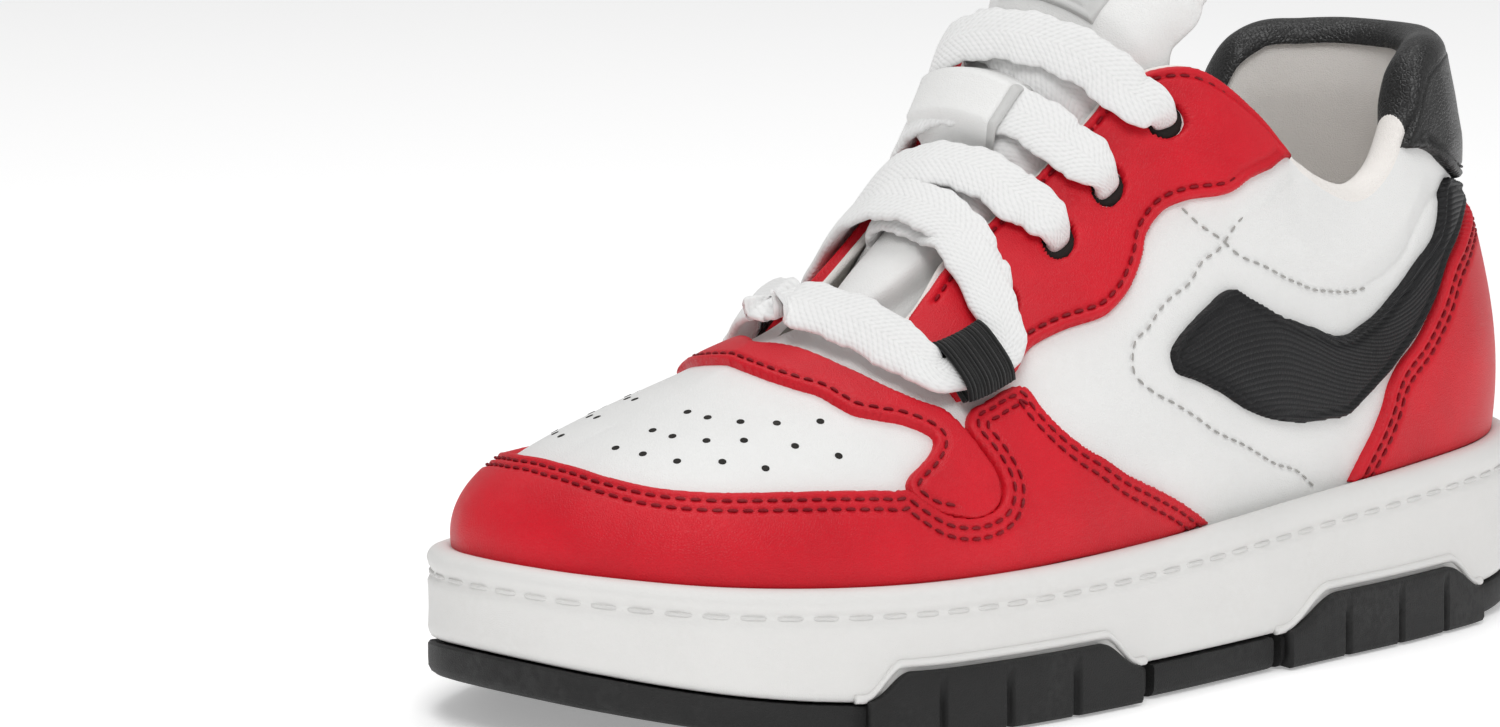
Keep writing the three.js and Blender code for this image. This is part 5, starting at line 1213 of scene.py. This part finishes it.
def keeper():
    """The lace keeper: a smooth strap along the throat that rises from the tongue, goes over one lace and down again,
    with a rounded edge. A grey tube along its lower edge is painted shade on the strap's shaded side."""
    s, v = np.meshgrid(np.linspace(5.93, 6.52, 60), np.linspace(-0.34, 0.76, 60), indexing="ij")
    over = ease(5.95, 6.1, s) * (1 - ease(6.34, 6.5, s))
    rim = np.minimum(v + 0.34, 0.76 - v) * 9
    edge = np.sqrt(np.maximum(1 - (1 - np.minimum(rim / 0.7, 1)) ** 2, 0))
    height = -1.6 + 5.2 * over + 0.9 * edge
    made = piece("keeper_strap", deck(s, v, height), grid_faces(*s.shape), white_leather, stands_for=("lace_keeper",
        ))
    solid = made.modifiers.new("wall", "SOLIDIFY")
    solid.thickness, solid.offset = 0.0007, -1
    # Painted shade: a grey tube along the strap's lower edge stands for its shaded side face.
    shaded_edge_s, shaded_edge_q = np.meshgrid(np.linspace(5.93, 6.52, 60), np.linspace(0, 2 * np.pi, 10, endpoint=False),
        indexing="ij")
    over = ease(5.95, 6.1, shaded_edge_s) * (1 - ease(6.34, 6.5, shaded_edge_s))
    shaded_edge = deck(shaded_edge_s, -0.36 + 0.06 * np.cos(shaded_edge_q), -1.4 + 5.2 * over + 0.62 * np.sin(shaded_edge_q))
    return made, outward(piece("keeper_shaded_edge", shaded_edge, tube_faces(60, 10), grey_label_and_edge_shade))


keeper()

# ---------------------------------------------------------------- lace and its two loops
LACE_WIDTH, LACE_THICKNESS, NARROW = 7.9, 1.9, 0.5
LACE_OVER = 0.45 + 1.0 + 0.3 + 0.1 + 0.6
IN_LOOP, LOOP_STATION, LOOP_ENTRY, LOOP_DECK = 3.1, 5.13, 5.45, 1.68
BAR_S, BAR_V = 4.6, 0.75

one = lambda surface, *place: surface(*[np.array(float(p)) for p in place])
throat_way = lambda s, v: unit(one(deck_point, s + 0.01, v) - one(deck_point, s - 0.01, v))


def tongue_level(v):
    return -1.5 - 1.8 * float(ease(0.6, 0.95, abs(v)))


def under(v):
    return tongue_level(v) + 0.9 + 0.2 + 0.48 * (1 - float(ease(0.6, 0.95, abs(v))))


def over_top(v):
    return LACE_OVER + 0.15 + 0.2 * float(ease(0.7, 1, abs(v)))


def turn_through(row, side, over_to, under_to):
    """The lace through a hole: along the top towards the hole, down it, and back along the underside."""
    s, v = EYELETS[row]
    middle = one(deck, s, side * v, 0)
    up = unit(one(deck, s, side * v, 1) - middle)

    def heading(other):
        aim = one(deck, other, side, 0) - middle
        return unit(aim - up * (aim @ up))

    top, bottom = heading(over_to), heading(under_to)
    way, low = -throat_way(s, side * v), under(1)
    stops = [(top, 5.6, LACE_OVER + 0.25, 1), (top, 3.2, LACE_OVER + 0.45, 0.9), (top, 1.5, LACE_OVER + 0.3, 0.66),
        (top, 0.3, 1.3, NARROW), (top, 0, 0.1, NARROW), (bottom, 0.3, -1.2, NARROW), (bottom, 1.5, low + 0.05,
        0.52), (bottom, 3.3, low - 0.02, 0.8)]
    return [np.concatenate([middle + head * d + up * h, way, [w]]) for head, d, h, w in stops]


def crossing(from_s, from_v, to_s, height):
    steps = np.array([1.02, 0.8, 0.5, 0.15, -0.15, -0.5, -0.8, -1.02]) * np.sign(from_v)
    rows = []
    for v in steps:
        w = 0.27 + 0.46 * (1 - v * np.sign(from_v)) / 2
        s = from_s + (to_s - from_s) * w
        rows.append(np.concatenate([one(deck, s, v, height(v)), -throat_way(s, v), [1.0]]))
    return rows


def lace_half(side):
    """Half of the lace: from its tucked end at a top hole to the bottom bar, through every hole on its way."""
    s = [e[0] for e in EYELETS]
    if side < 0:
        path = turn_through(0, side, 6.66, 6.9)[::-1]
        path += crossing(s[0], side, s[1], over_top) + turn_through(1, -side, 6.5, 6.3)
        path += crossing(s[1], -side, s[2], under) + turn_through(2, side, 5.9, 6.12)[::-1]
        path += crossing(s[2], side, s[3], over_top) + turn_through(3, -side, 5.66, 5.44)
        path += crossing(s[3], -side, LOOP_ENTRY, under)[:6]
    else:
        path = crossing(6.76, side, s[1], under)[1:] + turn_through(1, -side, 6.3, 6.5)[::-1]
        path += crossing(s[1], -side, s[2], over_top) + turn_through(2, side, 6.12, 5.9)
        path += crossing(s[2], side, s[3], under) + turn_through(3, -side, 5.44, 5.66)[::-1]
        path += crossing(s[3], -side, LOOP_ENTRY, over_top)[:6]
    on = lambda s, v, h: one(deck, s, side * v, h)
    in_loop = unit(on(LOOP_STATION, LOOP_DECK - 0.1, 0) - on(LOOP_STATION, LOOP_DECK, 0))
    turning = lambda s, v, h, w, width: np.concatenate(
        [on(s, v, h), unit(-throat_way(s, side * v) * (1 - w) + in_loop * w), [width]])
    path += [turning(5.47, 1.02, LACE_OVER + 0.5, 0.25, 0.95), turning(5.43, 1.42, IN_LOOP + 0.2, 0.7, 0.84),
        turning(5.34, LOOP_DECK - 0.03, IN_LOOP + 0.05, 1, 0.74), turning(LOOP_STATION, LOOP_DECK, IN_LOOP, 1,
        0.72), turning(4.9, LOOP_DECK, IN_LOOP - 0.05, 1, 0.74)]
    back = throat_way(BAR_S, side * BAR_V)
    corner = lambda s, v, h, w, width: np.concatenate([on(s, v, h), unit(in_loop * (1 - w) + back * w), [width]])
    path += [corner(4.81, LOOP_DECK - 0.14, IN_LOOP + 0.5, 0.3, 0.95), corner(4.72, LOOP_DECK - 0.4, IN_LOOP + 1.0,
        0.7, 1.05), corner(BAR_S + 0.03, 1.02, IN_LOOP + 1.1, 0.93, 1.08), corner(BAR_S, BAR_V, IN_LOOP + 0.9, 1,
        1.08)]
    return path


def lace():
    """The lace: a flat woven strip whose rounded section is carried along the path, its width turned to the path's
    own side and narrowed in the holes, with a slight ripple across it."""
    bar = np.concatenate([one(deck, BAR_S, 0, IN_LOOP + 0.6), throat_way(BAR_S, 0), [1.08]])
    path = np.array(lace_half(-1) + [bar] + lace_half(1)[::-1])
    at = np.linspace(0, len(path) - 1, 1100)
    knots = np.arange(len(path))
    here = curve_at(knots, path, at)
    along = unit(curve_at(knots, path, at + 0.02)[:, :3] - curve_at(knots, path, at - 0.02)[:, :3])
    hint = here[:, 3:6]
    wide = unit(hint - along * (hint * along).sum(-1, keepdims=True))
    thick = np.cross(wide, along)
    turn = np.linspace(0, 2 * np.pi, 24, endpoint=False)
    c, s = np.cos(turn), np.sin(turn)
    across = np.sign(c) * np.abs(c) ** 0.75 * 0.5
    deep = np.sign(s) * np.abs(s) ** 0.75 * 0.5
    run = np.concatenate([[0], np.cumsum(np.linalg.norm(np.diff(here[:, :3], axis=0), axis=-1))])
    ripple = 1 + 0.05 * np.sin(run * 0.9) + 0.03 * np.sin(run * 2.3 + 1.0)
    full = LACE_THICKNESS * (1 + 0.35 * (1 - here[:, 6]))
    points = (here[:, None, :3] + wide[:, None] * (across[None] * (LACE_WIDTH * here[:, 6] * ripple)[:, None])[...,
        None] + thick[:, None] * (deep[None] * full[:, None])[..., None])
    uv = np.stack(np.broadcast_arrays(run[:, None] * MM, across[None] * LACE_WIDTH * MM), -1)
    return piece("lace_strip", points, tube_faces(len(at), len(turn)), lace_cotton, stands_for=("lace",),
        uv=uv)


lace()


def lace_loop(side, word):
    """A webbing loop: from under the eyestay up over the lace, round a fold, and back beneath it, ribbed across."""
    leg, roof = IN_LOOP - 0.6 - 0.39 - 0.25, IN_LOOP + 0.6 + 0.6 + 0.35
    path = [(0, roof - 1.5), (.14, roof - .4), (.35, roof), (.75, roof - .1), (.95, roof - .7),
        (1, (roof + leg) / 2), (.95, leg + .3), (.75, leg), (.35, leg), (.1, leg)]
    k = np.linspace(0, len(path) - 1, 90)
    i = np.linspace(0, 1, 40)
    reach, height = curve_at(np.arange(len(path)), path, k).T
    toe, heel = np.array([4.95, .555, 4.95, .76]), np.array([5.3, .58, 5.28, .775])
    row = toe + (heel - toe) * i[:, None]
    s = row[:, None, 0] + (row[:, None, 2] - row[:, None, 0]) * reach
    t = row[:, None, 1] + (row[:, None, 3] - row[:, None, 1]) * reach
    thickness = 0.55
    ribs = 0.09 * np.sin(i * 2 * np.pi * 11)[:, None]
    points = skin(-side * s, t, height + 0 * s + ribs)
    uv = np.stack(np.broadcast_arrays(i[:, None] * 0.0095, (k / 9 * 0.02)[None]), -1)
    faces = grid_faces(*s.shape)
    made = piece(f"loop_{word}", points, faces if side < 0 else [f[::-1] for f in faces], webbing,
        stands_for=(f"lace_loop_{word}",), uv=uv)
    wall = made.modifiers.new("wall", "SOLIDIFY")
    wall.thickness, wall.offset = thickness * MM, 0
    return made


lace_loop(-1, "lateral")
lace_loop(1, "medial")

# ---------------------------------------------------------------- CAD nodes that stay, with their finish
finishes = {"midsole_filler": white_rubber, "strobel_board": lining_cloth, "sockliner": lining_cloth,
    "vamp_lining": lining_cloth}
for node, finish in finishes.items():
    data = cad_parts[node].data
    data.materials.clear()
    data.materials.append(finish)

# ---------------------------------------------------------------- floor, light and camera


def stage_set():
    floor_material, shader, w, place = new_material("floor")
    shader.inputs["Base Color"].default_value = (0.93, 0.93, 0.93, 1)
    shader.inputs["Roughness"].default_value = 0.9
    shader.inputs["Emission Color"].default_value = (1, 1, 1, 1)
    shader.inputs["Emission Strength"].default_value = 0.3
    mesh = bpy.data.meshes.new("floor")
    mesh.from_pydata([(-6, -6, -0.0002), (6, -6, -0.0002), (6, 6, -0.0002), (-6, 6, -0.0002)], [], [(0, 1, 2, 3)])
    floor = bpy.data.objects.new("floor", mesh)
    mesh.materials.append(floor_material)
    bpy.context.scene.collection.objects.link(floor)
    world = bpy.data.worlds.new("studio")
    world.use_nodes = True
    tree = world.node_tree
    tree.nodes["Background"].inputs[0].default_value = (1, 1, 1, 1)
    seen = tree.nodes.new("ShaderNodeLightPath")
    level = tree.nodes.new("ShaderNodeMapRange")
    level.inputs["To Min"].default_value, level.inputs["To Max"].default_value = 0.42, 0.95
    tree.links.new(seen.outputs["Is Camera Ray"], level.inputs["Value"])
    tree.links.new(level.outputs[0], tree.nodes["Background"].inputs[1])
    bpy.context.scene.world = world
    for name, spot, size, power in (("key", (-0.55, -0.6, 0.95), 0.6, 5.2), ("fill", (0.7, -0.6, 0.5), 0.9, 1.0),
            ("top", (0.05, 0.2, 1.2), 0.8, 4.2)):
        light = bpy.data.lights.new(name, "AREA")
        light.shape, light.size, light.energy = "DISK", size, power
        lamp = bpy.data.objects.new(name, light)
        lamp.location = spot
        lamp.rotation_mode = "QUATERNION"
        lamp.rotation_quaternion = (Vector((0, 0, 0.04)) - Vector(spot)).to_track_quat("-Z", "Y")
        bpy.context.scene.collection.objects.link(lamp)


def camera():
    az, el = math.radians(-41.32), math.radians(8.70)
    back = Vector((math.sin(az) * math.cos(el), -math.cos(az) * math.cos(el), math.sin(el)))
    right = Vector((0, 0, 1)).cross(back).normalized()
    above = back.cross(right)
    aim = Vector((0, 0, 0.040)) + Vector(CENTRING * MM) - right * 0.0364 + above * 0.0012
    view = bpy.data.cameras.new("camera")
    view.lens, view.sensor_width = 165.9, 36.0
    view.clip_start, view.clip_end = 0.05, 20
    body = bpy.data.objects.new("camera", view)
    body.matrix_world = Matrix.Translation(aim + back * 0.972) @ Matrix((right, above, back)).transposed().to_4x4()
    bpy.context.scene.collection.objects.link(body)
    bpy.context.scene.camera = body


stage_set()
camera()
bpy.context.scene.view_settings.view_transform = "Standard"

bpy.context.view_layer.update()
